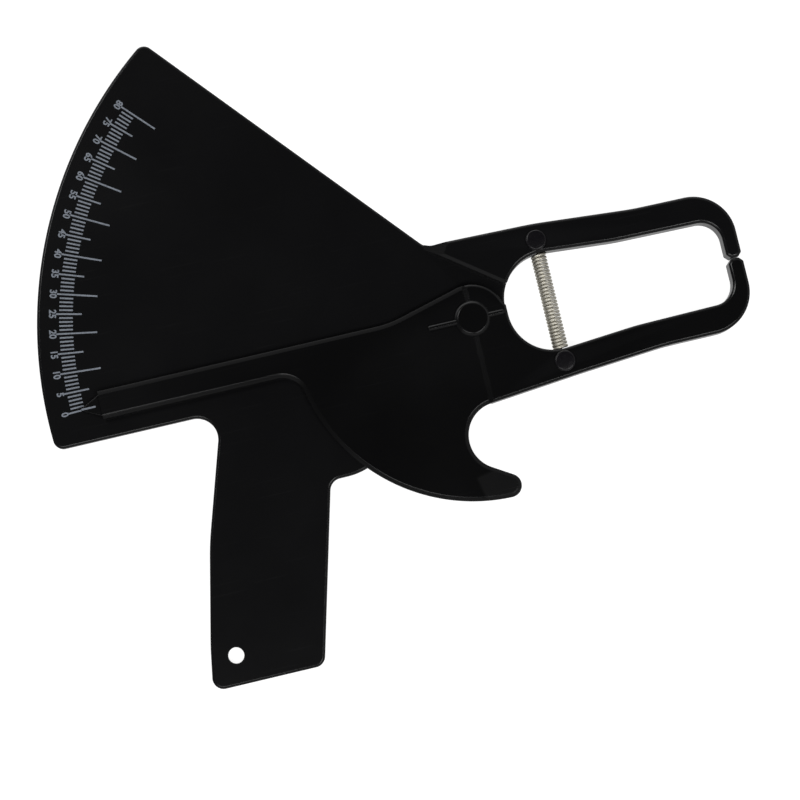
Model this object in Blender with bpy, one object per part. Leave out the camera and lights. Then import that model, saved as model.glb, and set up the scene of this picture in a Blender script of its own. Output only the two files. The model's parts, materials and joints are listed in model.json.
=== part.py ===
"""Skinfold caliper: a pistol-grip frame with a scale fan and a fixed upper jaw, a lever with a pointer,
a trigger and the moving lower jaw, the tension spring that closes the jaws, and the pivot.

The object lies on its back: +Z is the side with the scale and +X runs from the pivot to the jaw tips.
Outlines are drawn about the pivot axis, and an empty on that axis carries every piece.
Lengths are in metres and angles in degrees."""

import math

import bmesh
import bpy
import numpy as np
from mathutils import Vector

# Scale fan of the frame, about the pivot
FAN_RADIUS = 0.1707
FAN_LOWER_DROP = 0.0131
FAN_EDGE_ANGLE = 130.78
FAN_EDGE_OFFSET = 0.01266
FAN_CORNER_ROUND = 0.0037

# Handle of the frame
HANDLE_DROP = 0.1184
HANDLE_BACK_REACH = 0.1044
HANDLE_LEAN = 0.0272
HANDLE_FOOT_WIDTH = 0.04454
HANDLE_FRONT_REACH = 0.06843
HANDLE_ROOT_ROUND = 0.0083
HANDLE_FOOT_ROUND = 0.0044
HANDLE_FRONT_ROUND = 0.0049
HANDLE_SWEEP_ROUND = 0.12
# Two bends of the back edge, as shares of the handle's height and of its lean
HANDLE_BEND_SHARES = ((0.465, 0.573), (0.838, 0.893))
SHOULDER_DROP = 0.04885
SHOULDER_ROUND = 0.026
HANG_HOLE_RADIUS = 0.00315
HANG_HOLE_RISE = 0.01165
HANG_HOLE_INSET = 0.0119

# Thicknesses and levels, from the back face at zero
FRAME_PLATE = 0.0038
ARM_TOP = 0.0086
LEVER_REAR = 0.0003
SWEEP_GAP = 0.0005
HUB_GAP = 0.0004
LEVER_PLATE_TOP = 0.0078
PLATE_RIM = 0.0008
ARM_RIM = 0.0007

# The two jaw arms, mirrored about the jaw line
LOOP_LEFT = 0.01405
LOOP_ROOT_HALF = 0.02101
LOOP_ROOT_ROUND = 0.01785
LOOP_BEND_HALF = 0.0172
LOOP_BEND_ROUND = 0.08
LOOP_END_HALF = 0.0165
LOOP_END_ROUND = 0.0086
JAW_REACH = 0.10935
JAW_WALL = 0.00605
ARM_END_HALF = 0.02755
ARM_END_ROUND = 0.017
ARM_BEND_ROUND = 0.1
JAW_GAP = 0.0003
JAW_CHAMFER = 0.00165
JAW_CORNER_ROUND = 0.0008
# Where the loop's inner edge and the arms' outer edges bend, as shares of the reach
LOOP_BEND_SHARE = 0.567
ARM_BEND_SHARE = 0.653
UPPER_KNEE_SHARE = 0.2908
LOWER_KNEE_SHARE = 0.3365
# Where the flat pad starts and ends, as shares of the jaw's wall from its inner side
JAW_PAD_SHARES = (0.28, 0.744)

# Upper arm, which is part of the frame
UPPER_ROOT_HALF = 0.0321
UPPER_KNEE_HALF = 0.0312
UPPER_BEND_HALF = 0.028
ARM_KNEE_ROUND = 0.15
CREST_ROUND = 0.00715
CREST_PLATE_SHARE = 0.63
STEP_ANGLE = 53.5
STEP_OFFSET = 0.01795
TONGUE_OVERLAP = 0.005
STEP_WALL_REACH = 0.033
BLOCK_INSET = 0.00015

# Lower arm, which is part of the lever
LOWER_KNEE_HALF = 0.0304
LOWER_BEND_HALF = 0.0276

# Hub, pointer and trigger of the lever
HUB_RADIUS = 0.0135
HUB_LEAVE_ANGLE = 18.0
HUB_LOOP_RISE = 0.0023
FRAME_HUB_RADIUS = 0.0126
FRAME_HUB_GAP = 0.0006
FRAME_HUB_STOP = 0.0008
FRAME_NOTCH_ROUND = 0.002
REAR_CORNER_ROUND = 0.0026
LEVER_TRAVEL = 46.0
TRAVEL_GAP = 0.00045
FRONT_BLOCK_BACK = 0.0012
POINTER_END = 0.1492
POINTER_HALF = 0.00545
POINTER_ROUND = 0.0009
POINTER_FLARE_ANGLE = 14.7
POINTER_FLARE_ROUND = 0.04
POINTER_TIP = 0.157
POINTER_TIP_HALF = 0.0043
POINTER_TIP_THICKNESS = 0.0017
POINTER_TIP_FLAT = 0.0005
TRIGGER_RADIUS = 0.0716
TRIGGER_ROOT_ROUND = 0.0097
TRIGGER_TIP_ROUND = 0.0046
TRIGGER_TIP_ANGLE = -90.7
FINGER_X = 0.0009
FINGER_TO_TIP = 0.0199
FINGER_RADIUS = 0.0132
FINGER_LEAVE_ANGLE = 95.0
PLATE_OVERLAP = 0.002
BOSS_RADIUS = 0.00675
BOSS_TOP = 0.0096
BOSS_RIM = 0.0005
RIB_WIDTH = 0.0016
RIB_TOP = 0.0093
RIB_RIM = 0.0004
RIB_BACK_REACH = 0.018
RIB_FRONT_STOP = 0.0011

# Pivot
SPIGOT_RADIUS = 0.004
BORE_GAP = 0.0003
SEAT_GAP = 0.0003
COUNTERBORE_RADIUS = 0.007
COUNTERBORE_DEPTH = 0.0024
RETAINER_RADIUS = 0.006
RETAINER_THICKNESS = 0.0006
SCREW_HEAD_RADIUS = 0.003
SCREW_HEAD_DEPTH = 0.00075
SCREW_SHANK_RADIUS = 0.00145
SCREW_END_WALL = 0.0017
SCREW_END_GAP = 0.0003
CROSS_WIDTH = 0.0007
CROSS_LENGTH = 0.0034
CROSS_DEPTH = 0.0004
WASHER_THICKNESS = 0.0005
WASHER_WALL = 0.0024
WASHER_SEAT_GAP = 0.0003

# Spring pins
PIN_X = 0.0314
PIN_HALF = 0.02445
PIN_SHANK_RADIUS = 0.0016
PIN_HEAD_RADIUS = 0.0041
PIN_HEAD_HEIGHT = 0.001
PIN_HEAD_RIM = 0.0003
PIN_FLOOR = 0.001

# Tension spring and the slots for its hooks
SPRING_RADIUS = 0.00313
SPRING_WIRE = 0.00085
SPRING_LEVEL = 0.0043
SPRING_CURLS = 29
SPRING_CURL_POINTS = 9
SPRING_WALL_GAP = 0.00035
HOOK_TURN = 250.0
HOOK_POINTS = 12
SLOT_WIDTH = 0.007
SLOT_HEIGHT = 0.002
SLOT_END_GAP = 0.0008

# Working values
CHORD_ERROR = 0.00004
OVERRUN = 0.004
ROUND_SIDES = 40
SMALL_SIDES = 24
FILLET_WALL_SHARE = 0.98
SHARP_ANGLE = 35.0

LEVER_PLATE_BACK = FRAME_PLATE + SWEEP_GAP
HUB_BACK = FRAME_PLATE + HUB_GAP
ARM_HUB_INNER = FRAME_HUB_RADIUS + FRAME_HUB_GAP
LOOP_BEND_X = LOOP_BEND_SHARE * JAW_REACH
ARM_BEND_X = ARM_BEND_SHARE * JAW_REACH
UPPER_KNEE_X = UPPER_KNEE_SHARE * JAW_REACH
LOWER_KNEE_X = LOWER_KNEE_SHARE * JAW_REACH
FINGER_DROP = TRIGGER_RADIUS - TRIGGER_TIP_ROUND - FINGER_TO_TIP


def at(radius, angle, centre=(0.0, 0.0)):
    """The point at an angle in degrees on a circle."""
    turn = math.radians(angle)
    return (centre[0] + radius * math.cos(turn), centre[1] + radius * math.sin(turn))


def steps_for(radius, turn):
    """How many chords follow an arc of a turn in degrees to within the chord error."""
    one = 2 * math.degrees(math.acos(1 - min(CHORD_ERROR / radius, 1)))
    return max(1, math.ceil(abs(turn) / one))


def arc(radius, start, end, centre=(0.0, 0.0)):
    """Corners with no rounding along an arc, both ends included."""
    count = steps_for(radius, end - start)
    return [at(radius, start + (end - start) * i / count, centre) + (0,) for i in range(count + 1)]


def rounded(corners):
    """The outline through corners (x, y, round), each with an arc of its radius in place of the corner."""
    count = len(corners)
    places = [Vector(corner[:2]) for corner in corners]
    halves = []
    reaches = []
    for i, corner in enumerate(corners):
        back = places[i - 1] - places[i]
        ahead = places[(i + 1) % count] - places[i]
        halves.append(back.angle(ahead) / 2)
        reaches.append(corner[2] / math.tan(halves[i]) if corner[2] else 0)
    # Two arcs share the wall between their corners
    fits = [1.0] * count
    for i in range(count):
        j = (i + 1) % count
        wall = (places[j] - places[i]).length * FILLET_WALL_SHARE
        if reaches[i] + reaches[j] > wall:
            fit = wall / (reaches[i] + reaches[j])
            fits[i] = min(fits[i], fit)
            fits[j] = min(fits[j], fit)
    points = []
    for i, here in enumerate(places):
        if reaches[i] == 0:
            points.append((here.x, here.y))
            continue
        half = halves[i]
        reach = reaches[i] * fits[i]
        radius = reach * math.tan(half)
        back = places[i - 1] - here
        ahead = places[(i + 1) % count] - here
        back.normalize()
        ahead.normalize()
        centre = here + (back + ahead).normalized() * (radius / math.sin(half))
        first = here + back * reach - centre
        last = here + ahead * reach - centre
        start = math.degrees(math.atan2(first.y, first.x))
        turn = math.degrees(math.atan2(first.x * last.y - first.y * last.x, first.dot(last)))
        points += [p[:2] for p in arc(radius, start, start + turn, centre)]
    return wound(points)


def wound(points):
    """The points counterclockwise, without repeats."""
    kept = []
    for p in points:
        if not kept or math.dist(p, kept[-1]) > CHORD_ERROR:
            kept.append(p)
    if math.dist(kept[0], kept[-1]) <= CHORD_ERROR:
        kept.pop()
    area = sum(a[0] * b[1] - b[0] * a[1] for a, b in zip(kept, kept[1:] + kept[:1]))
    return kept if area > 0 else kept[::-1]


def clipped(points, angle, offset, clear):
    """The part of an outline no further than an offset along an angle.
    Points nearer than the clear length to a cut corner are dropped."""
    nx, ny = at(1, angle)
    cuts = []
    kept = []
    for a, b in zip(points, points[1:] + points[:1]):
        da = nx * a[0] + ny * a[1] - offset
        db = nx * b[0] + ny * b[1] - offset
        if da <= 0:
            kept.append(a)
        if (da <= 0) != (db <= 0):
            share = da / (da - db)
            cut = (a[0] + (b[0] - a[0]) * share, a[1] + (b[1] - a[1]) * share)
            cuts.append(cut)
            kept.append(cut)
    return wound([p for p in kept if p in cuts or all(math.dist(p, c) > clear for c in cuts)])


def inset(points, distance):
    """The outline moved inwards by a distance."""
    here = np.array(points)
    edge = np.roll(here, -1, axis=0) - here
    edge /= np.linalg.norm(edge, axis=1)[:, None]
    inward = np.stack([-edge[:, 1], edge[:, 0]], axis=1)
    before = np.roll(inward, 1, axis=0)
    mitre = (inward + before) / (1 + (inward * before).sum(axis=1))[:, None]
    return here + mitre * distance


def make_material(name, colour, roughness, metallic=0.0):
    """A Principled material."""
    material = bpy.data.materials.new(name)
    material.use_nodes = True
    shader = material.node_tree.nodes["Principled BSDF"]
    shader.inputs["Base Color"].default_value = (*colour, 1.0)
    shader.inputs["Roughness"].default_value = roughness
    shader.inputs["Metallic"].default_value = metallic
    material.diffuse_color = (*colour, 1.0)
    return material


def add_object(name, data, material=None):
    """A new object on the pivot's empty."""
    piece = bpy.data.objects.new(name, data)
    bpy.context.scene.collection.objects.link(piece)
    piece.parent = pivot
    if material:
        data.materials.append(material)
    return piece


def stack(name, rings, material=None, smooth=False):
    """A closed solid through rings of points, lowest first, each the same count and counterclockwise."""
    mesh = bpy.data.meshes.new(name)
    work = bmesh.new()
    rows = [[work.verts.new(p) for p in ring] for ring in rings]
    count = len(rows[0])
    for low, high in zip(rows, rows[1:]):
        for i in range(count):
            j = (i + 1) % count
            work.faces.new((low[i], low[j], high[j], high[i]))
    work.faces.new(rows[0][::-1])
    work.faces.new(rows[-1])
    bmesh.ops.recalc_face_normals(work, faces=work.faces)
    work.to_mesh(mesh)
    work.free()
    if smooth:
        mesh.shade_smooth()
        mesh.set_sharp_from_angle(angle=math.radians(SHARP_ANGLE))
    return add_object(name, mesh, material)


def slab(name, points, bottom, top, rim_low=0.0, rim_high=0.0, material=None):
    """An outline raised between two levels, with its lower and upper rims broken."""
    levels = []
    if rim_low:
        levels.append((bottom, rim_low))
    levels.append((bottom + rim_low, 0))
    levels.append((top - rim_high, 0))
    if rim_high:
        levels.append((top, rim_high))
    rings = [[(x, y, z) for x, y in inset(points, d)] for z, d in levels]
    return stack(name, rings, material)


def turned(name, profile, sides, centre=(0.0, 0.0), material=None):
    """A round solid from a profile of radius and level, lowest first, about a vertical axis."""
    rings = []
    for radius, z in profile:
        places = [at(radius, 360 * i / sides, centre) for i in range(sides)]
        rings.append([(x, y, z) for x, y in places])
    return stack(name, rings, material, smooth=True)


def ring(name, inner, outer, bottom, top, sides, material):
    """A flat washer about the pivot."""
    mesh = bpy.data.meshes.new(name)
    work = bmesh.new()
    profile = ((inner, bottom), (outer, bottom), (outer, top), (inner, top))
    rows = []
    for i in range(sides):
        places = [at(radius, 360 * i / sides) + (z,) for radius, z in profile]
        rows.append([work.verts.new(p) for p in places])
    for a, b in zip(rows, rows[1:] + rows[:1]):
        for i in range(len(profile)):
            j = (i + 1) % len(profile)
            work.faces.new((a[i], b[i], b[j], a[j]))
    bmesh.ops.recalc_face_normals(work, faces=work.faces)
    work.to_mesh(mesh)
    work.free()
    mesh.shade_smooth()
    mesh.set_sharp_from_angle(angle=math.radians(SHARP_ANGLE))
    return add_object(name, mesh, material)


def box(name, low, high):
    """A straight block between two corners."""
    corners = ((low[0], low[1]), (high[0], low[1]), (high[0], high[1]), (low[0], high[1]))
    return stack(name, [[(x, y, z) for x, y in corners] for z in (low[2], high[2])])


def combine(piece, helper, operation):
    """Joins a helper to a piece or cuts it out, and keeps the helper as a guide."""
    helper.hide_render = True
    helper.display_type = "WIRE"
    modifier = piece.modifiers.new(helper.name, "BOOLEAN")
    modifier.operation = operation
    modifier.object = helper
    modifier.solver = "EXACT"


def jaw_corners(side):
    """Corners of one arm from the root of the loop along the inside, round the jaw tip and to the outer end.
    The side is 1 for the upper arm and -1 for the lower."""
    inner = JAW_REACH - JAW_WALL
    pad_start = inner + JAW_PAD_SHARES[0] * JAW_WALL
    pad_end = inner + JAW_PAD_SHARES[1] * JAW_WALL
    face = JAW_GAP / 2
    return [
        (LOOP_LEFT, side * LOOP_ROOT_HALF, LOOP_ROOT_ROUND),
        (LOOP_BEND_X, side * LOOP_BEND_HALF, LOOP_BEND_ROUND),
        (inner, side * LOOP_END_HALF, LOOP_END_ROUND),
        (inner, side * (face + JAW_CHAMFER), JAW_CORNER_ROUND),
        (pad_start, side * face, JAW_CORNER_ROUND),
        (pad_end, side * face, JAW_CORNER_ROUND),
        (JAW_REACH, side * (face + JAW_CHAMFER), JAW_CORNER_ROUND),
        (JAW_REACH, side * ARM_END_HALF, ARM_END_ROUND),
    ]


def fan_point(along, across=0.0):
    """A point on the fan's upper edge by its distance along the edge, moved in by a distance across."""
    out = at(FAN_EDGE_OFFSET - across, FAN_EDGE_ANGLE - 90)
    up = at(along, FAN_EDGE_ANGLE)
    return (out[0] + up[0], out[1] + up[1])


def crest_point():
    """Where the fan's upper edge meets the upper arm's outer edge."""
    nx, ny = at(1, FAN_EDGE_ANGLE - 90)
    return ((FAN_EDGE_OFFSET - ny * UPPER_ROOT_HALF) / nx, UPPER_ROOT_HALF)


def travel_edge_at_drop(drop):
    """The point of the frame's hidden lower edge that lies a drop below the pivot.
    The edge stands the travel gap outside the place of the lever's rear wall at full travel."""
    angle = -90 - LEVER_TRAVEL
    side = at(TRAVEL_GAP, angle - 90)
    reach = (drop + side[1]) / -math.sin(math.radians(angle))
    along = at(reach, angle)
    return (side[0] + along[0], side[1] + along[1])


def travel_edge_at_radius(radius):
    """The point of the frame's hidden lower edge at a radius from the pivot."""
    angle = -90 - LEVER_TRAVEL
    side = at(TRAVEL_GAP, angle - 90)
    along = at(math.sqrt(radius**2 - TRAVEL_GAP**2), angle)
    return (side[0] + along[0], side[1] + along[1])


def frame_plate_outline():
    """The thin part of the frame: fan, handle and hub, and a tongue under the step to the raised arm."""
    height = HANDLE_DROP - FAN_LOWER_DROP
    heel_x = -HANDLE_BACK_REACH - HANDLE_LEAN
    fan_low = -math.sqrt(FAN_RADIUS**2 - FAN_LOWER_DROP**2)
    fan_low_angle = 180 + math.degrees(math.asin(FAN_LOWER_DROP / FAN_RADIUS))
    fan_top = fan_point(math.sqrt(FAN_RADIUS**2 - FAN_EDGE_OFFSET**2))
    fan_top_angle = math.degrees(math.atan2(fan_top[1], fan_top[0]))
    crest = crest_point()
    notch = travel_edge_at_radius(FRAME_HUB_RADIUS)
    notch_angle = math.degrees(math.atan2(notch[1], notch[0]))
    stop_angle = math.degrees(math.asin(FRAME_HUB_STOP / FRAME_HUB_RADIUS))
    shoulder = travel_edge_at_drop(SHOULDER_DROP)
    upper = arc(FAN_RADIUS, fan_top_angle, 180)
    lower = arc(FAN_RADIUS, 180, fan_low_angle)
    hub = arc(FRAME_HUB_RADIUS, notch_angle, stop_angle)
    corners = [
        (LOOP_LEFT - BLOCK_INSET, FRAME_HUB_STOP, 0),
        (LOOP_LEFT - BLOCK_INSET, LOOP_ROOT_HALF + BLOCK_INSET, LOOP_ROOT_ROUND + BLOCK_INSET),
        (LOOP_BEND_X, LOOP_BEND_HALF + BLOCK_INSET, 0),
        (crest[0], crest[1], CREST_ROUND * CREST_PLATE_SHARE),
        (fan_top[0], fan_top[1], FAN_CORNER_ROUND),
        *upper[1:],
        *lower[1:-1],
        (fan_low, -FAN_LOWER_DROP, FAN_CORNER_ROUND),
        (-HANDLE_BACK_REACH, -FAN_LOWER_DROP, HANDLE_ROOT_ROUND),
    ]
    for drop, lean in HANDLE_BEND_SHARES:
        bend_x = -HANDLE_BACK_REACH - lean * HANDLE_LEAN
        corners.append((bend_x, -FAN_LOWER_DROP - drop * height, HANDLE_SWEEP_ROUND))
    corners += [
        (heel_x, -HANDLE_DROP, HANDLE_FOOT_ROUND),
        (heel_x + HANDLE_FOOT_WIDTH, -HANDLE_DROP, HANDLE_FOOT_ROUND),
        (-HANDLE_FRONT_REACH, -SHOULDER_DROP, HANDLE_FRONT_ROUND),
        (shoulder[0], shoulder[1], SHOULDER_ROUND),
        (notch[0], notch[1], FRAME_NOTCH_ROUND),
        *hub[1:],
    ]
    return clipped(rounded(corners), 0, LOOP_LEFT + TONGUE_OVERLAP, 2 * PLATE_RIM)


def frame_arm_outline():
    """The raised upper arm, from the step beside the hub to the jaw tip."""
    crest = crest_point()
    beyond = fan_point(STEP_WALL_REACH + UPPER_ROOT_HALF)
    corners = [
        (0, 0, 0),
        (LOOP_LEFT, 0, 0),
        *jaw_corners(1),
        (ARM_BEND_X, UPPER_BEND_HALF, ARM_BEND_ROUND),
        (UPPER_KNEE_X, UPPER_KNEE_HALF, ARM_KNEE_ROUND),
        (crest[0], crest[1], CREST_ROUND),
        (beyond[0], beyond[1], 0),
    ]
    points = clipped(rounded(corners), STEP_ANGLE + 180, -STEP_OFFSET, 2 * ARM_RIM)
    return clipped(points, FAN_EDGE_ANGLE, STEP_WALL_REACH, 2 * ARM_RIM)


def trigger_corners(inner_gap, end_x):
    """The trigger from the pointer's lower edge round the tip and up the finger rest to a place across."""
    reach = TRIGGER_RADIUS + TRIGGER_ROOT_ROUND
    drop = POINTER_HALF + TRIGGER_ROOT_ROUND
    root = (-math.sqrt(reach**2 - drop**2), -drop)
    root_angle = math.degrees(math.atan2(-root[1], -root[0]))
    tip = at(TRIGGER_RADIUS - TRIGGER_TIP_ROUND, TRIGGER_TIP_ANGLE)
    finger = (FINGER_X, -FINGER_DROP)
    toward = math.degrees(math.atan2(finger[1] - tip[1], finger[0] - tip[0]))
    apart = math.dist(tip, finger)
    swing = math.degrees(math.acos((TRIGGER_TIP_ROUND + FINGER_RADIUS) / apart))
    tangent = toward - swing
    radius = FINGER_RADIUS + inner_gap
    end = math.degrees(math.acos((end_x - FINGER_X) / radius))
    return [
        *arc(TRIGGER_ROOT_ROUND, 90, root_angle, root),
        *arc(TRIGGER_RADIUS, 180 + root_angle, 360 + TRIGGER_TIP_ANGLE)[1:],
        *arc(TRIGGER_TIP_ROUND, TRIGGER_TIP_ANGLE, tangent, tip)[1:],
        *arc(radius, 180 + tangent, end, finger),
    ]


def lever_plate_outline():
    """The thin part of the lever: pointer, left side of the hub, and trigger."""
    hub = HUB_RADIUS - BLOCK_INSET
    touch = 90 + POINTER_FLARE_ANGLE
    slope = math.tan(math.radians(POINTER_FLARE_ANGLE))
    start = at(hub, touch)
    flare_x = start[0] - (start[1] - POINTER_HALF) / slope
    top = math.degrees(math.acos(PLATE_OVERLAP / hub))
    corners = [
        (-POINTER_END, POINTER_HALF, POINTER_ROUND),
        (-POINTER_END, -POINTER_HALF, POINTER_ROUND),
        *trigger_corners(BLOCK_INSET, PLATE_OVERLAP),
        *arc(hub, top, touch),
        (flare_x, POINTER_HALF, POINTER_FLARE_ROUND),
    ]
    return rounded(corners)


def lever_arm_outline():
    """The raised part of the lever: right side of the hub and the lower arm to its jaw tip."""
    hub_start = math.degrees(math.acos(-FRONT_BLOCK_BACK / HUB_RADIUS))
    finger = (FINGER_X, -FINGER_DROP)
    wall = math.degrees(math.acos((-FRONT_BLOCK_BACK - FINGER_X) / FINGER_RADIUS))
    corners = [
        *arc(HUB_RADIUS, hub_start, HUB_LEAVE_ANGLE),
        (LOOP_LEFT, HUB_LOOP_RISE, 0),
        *jaw_corners(-1),
        (ARM_BEND_X, -LOWER_BEND_HALF, ARM_BEND_ROUND),
        (LOWER_KNEE_X, -LOWER_KNEE_HALF, ARM_KNEE_ROUND),
        *arc(FINGER_RADIUS, FINGER_LEAVE_ANGLE, wall, finger),
    ]
    return rounded(corners)


def rear_relief_outline():
    """What the lever's rear leaves free for the frame: all but the arm below the jaw line outside the hub."""
    far = FAN_RADIUS
    start = math.degrees(math.asin(LEVER_REAR / ARM_HUB_INNER))
    first = at(ARM_HUB_INNER, -90 + math.degrees(2 * REAR_CORNER_ROUND / ARM_HUB_INNER))
    rest = -90 + math.degrees(2 * REAR_CORNER_ROUND / ARM_HUB_INNER)
    corners = [
        (far, -LEVER_REAR, 0),
        (far, far, 0),
        (-far, far, 0),
        (-far, -far, 0),
        (0, -far, 0),
        (0, -ARM_HUB_INNER, REAR_CORNER_ROUND),
        (first[0], first[1], 0),
        *arc(ARM_HUB_INNER, rest, -start)[1:],
    ]
    return rounded(corners)


def spring_points():
    """The spring's centre line from the upper hook to the lower: hook, run-in, curls, run-out and hook."""
    mean = SPRING_RADIUS - SPRING_WIRE / 2
    loop_end = LOOP_ROOT_HALF - (PIN_X - LOOP_LEFT) * (LOOP_ROOT_HALF - LOOP_BEND_HALF) / (LOOP_BEND_X - LOOP_LEFT)
    top = loop_end - SPRING_WALL_GAP - SPRING_WIRE / 2
    hook = PIN_SHANK_RADIUS + BORE_GAP + SPRING_WIRE / 2
    half_curl = SPRING_CURL_POINTS // 2
    total = SPRING_CURLS * SPRING_CURL_POINTS
    curls = []
    for i in range(total + 1):
        share = i / total
        turn = 2 * math.pi * SPRING_CURLS * share
        run = min(i, total - i, half_curl) / half_curl
        radius = mean * math.sin(run * math.pi / 2)
        y = top * (1 - 2 * share)
        curls.append((PIN_X + radius * math.cos(turn), y, SPRING_LEVEL + radius * math.sin(turn)))
    apart = PIN_HALF - top - SPRING_WIRE
    swing = math.degrees(math.acos(hook / apart))
    loop = []
    for i in range(HOOK_POINTS + 1):
        angle = -90 + swing + HOOK_TURN * i / HOOK_POINTS
        loop.append(at(hook, angle) + (SPRING_LEVEL,))
    upper = [(PIN_X + x, PIN_HALF + y, z) for x, y, z in loop[::-1]]
    lower = [(PIN_X - x, -PIN_HALF - y, z) for x, y, z in loop]
    upper.append((PIN_X, top + SPRING_WIRE, SPRING_LEVEL))
    lower.insert(0, (PIN_X, -top - SPRING_WIRE, SPRING_LEVEL))
    return upper + curls + lower


def least_gap(points):
    """The least distance between stretches of the wire that aren't neighbours, less the wire."""
    line = []
    for a, b in zip(points, points[1:]):
        line += [np.array(a) + (np.array(b) - np.array(a)) * share for share in (0, 0.25, 0.5, 0.75)]
    line = np.array(line)
    along = np.concatenate([[0], np.cumsum(np.linalg.norm(np.diff(line, axis=0), axis=1))])
    apart = np.linalg.norm(line[:, None] - line[None], axis=2)
    near = np.abs(along[:, None] - along[None]) < 4 * SPRING_WIRE
    apart[near] = FAN_RADIUS
    return apart.min() - SPRING_WIRE


for old in list(bpy.data.objects):
    bpy.data.objects.remove(old, do_unlink=True)

plate_points = frame_plate_outline()
upper_arm_points = frame_arm_outline()
lower_arm_points = lever_arm_outline()
lever_points = lever_plate_outline()

# The origin is the middle of the object's box on its back face, so the pivot stands off it
outer = np.array(plate_points + upper_arm_points + lower_arm_points)
middle = (outer.min(axis=0) + outer.max(axis=0)) / 2
pivot = bpy.data.objects.new("pivot_axis", None)
bpy.context.scene.collection.objects.link(pivot)
pivot.location = (-middle[0], -middle[1], 0)
bpy.context.view_layer.update()

black = make_material("black_plastic", (0.006, 0.006, 0.0065), 0.32)
lever_black = make_material("lever_black_plastic", (0.006, 0.006, 0.0065), 0.32)
pin_black = make_material("pin_black", (0.011, 0.010, 0.013), 0.34, 0.4)
lower_pin_black = make_material("lower_pin_black", (0.011, 0.010, 0.013), 0.34, 0.4)
spring_steel = make_material("spring_steel", (0.62, 0.60, 0.55), 0.28, 1.0)
screw_steel = make_material("screw_steel", (0.55, 0.55, 0.56), 0.3, 1.0)
washer_steel = make_material("washer_steel", (0.58, 0.58, 0.58), 0.35, 1.0)
washer_plastic = make_material("washer_plastic", (0.75, 0.74, 0.7), 0.45)

# Frame: thin plate, raised upper arm, then the cuts
frame = slab("frame", plate_points, 0, FRAME_PLATE, PLATE_RIM, PLATE_RIM, black)
frame.data.shade_flat()
raised = slab("frame_raised_arm", upper_arm_points, 0, ARM_TOP, ARM_RIM, ARM_RIM)
combine(frame, raised, "UNION")

counterbore = ((COUNTERBORE_RADIUS, -OVERRUN), (COUNTERBORE_RADIUS, COUNTERBORE_DEPTH))
combine(frame, turned("frame_counterbore", counterbore, ROUND_SIDES), "DIFFERENCE")
bore_radius = SPIGOT_RADIUS + BORE_GAP
bore = ((bore_radius, -OVERRUN), (bore_radius, FRAME_PLATE + OVERRUN))
combine(frame, turned("frame_bore", bore, ROUND_SIDES), "DIFFERENCE")

hole_place = (-HANDLE_BACK_REACH - HANDLE_LEAN + HANG_HOLE_INSET, -HANDLE_DROP + HANG_HOLE_RISE)
hang = ((HANG_HOLE_RADIUS, -OVERRUN), (HANG_HOLE_RADIUS, FRAME_PLATE + OVERRUN))
combine(frame, turned("frame_hang_hole", hang, SMALL_SIDES, hole_place), "DIFFERENCE")

# Lever: raised arm with its rear relief, thin plate, pointer tip, boss and ribs, then the pivot seat
lever_arm = slab("lever_raised_arm", lower_arm_points, LEVER_REAR, ARM_TOP, ARM_RIM, ARM_RIM)
relief = slab("lever_rear_relief", rear_relief_outline(), LEVER_REAR - OVERRUN, HUB_BACK)
combine(lever_arm, relief, "DIFFERENCE")
lever = slab(
    "lever", lever_points, LEVER_PLATE_BACK, LEVER_PLATE_TOP, PLATE_RIM, PLATE_RIM, lever_black
)
combine(lever, lever_arm, "UNION")

tip_corners = [
    (-POINTER_END + OVERRUN, POINTER_TIP_HALF, 0),
    (-POINTER_END, POINTER_TIP_HALF, 0),
    (-POINTER_TIP, POINTER_TIP_FLAT / 2, 0),
    (-POINTER_TIP, -POINTER_TIP_FLAT / 2, 0),
    (-POINTER_END, -POINTER_TIP_HALF, 0),
    (-POINTER_END + OVERRUN, -POINTER_TIP_HALF, 0),
]
tip_back = LEVER_PLATE_BACK + BLOCK_INSET
tip = slab("lever_pointer_tip", wound([p[:2] for p in tip_corners]), tip_back, tip_back + POINTER_TIP_THICKNESS)
combine(lever, tip, "UNION")

rib_root = LEVER_PLATE_TOP - PLATE_RIM
for rib_name, rib_start, rib_end in (
    ("lever_rib_back", -RIB_BACK_REACH, 0),
    ("lever_rib_front", 0, LOOP_LEFT - RIB_FRONT_STOP),
):
    rib_corners = [
        (rib_start, -RIB_WIDTH / 2, RIB_WIDTH / 3),
        (rib_end, -RIB_WIDTH / 2, RIB_WIDTH / 3),
        (rib_end, RIB_WIDTH / 2, RIB_WIDTH / 3),
        (rib_start, RIB_WIDTH / 2, RIB_WIDTH / 3),
    ]
    rib = slab(rib_name, rounded(rib_corners), rib_root, RIB_TOP, 0.0, RIB_RIM)
    combine(lever, rib, "UNION")

boss = ((BOSS_RADIUS, rib_root), (BOSS_RADIUS, BOSS_TOP - BOSS_RIM), (BOSS_RADIUS - BOSS_RIM, BOSS_TOP))
combine(lever, turned("lever_boss", boss, ROUND_SIDES), "UNION")

washer_back = FRAME_PLATE + WASHER_SEAT_GAP
washer_inner = SPIGOT_RADIUS + BORE_GAP
washer_outer = washer_inner + WASHER_WALL
seat_radius = washer_outer + BORE_GAP
seat_top = washer_back + WASHER_THICKNESS + WASHER_SEAT_GAP
seat = ((seat_radius, washer_back - OVERRUN), (seat_radius, seat_top))
combine(lever, turned("lever_washer_seat", seat, ROUND_SIDES), "DIFFERENCE")

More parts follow.
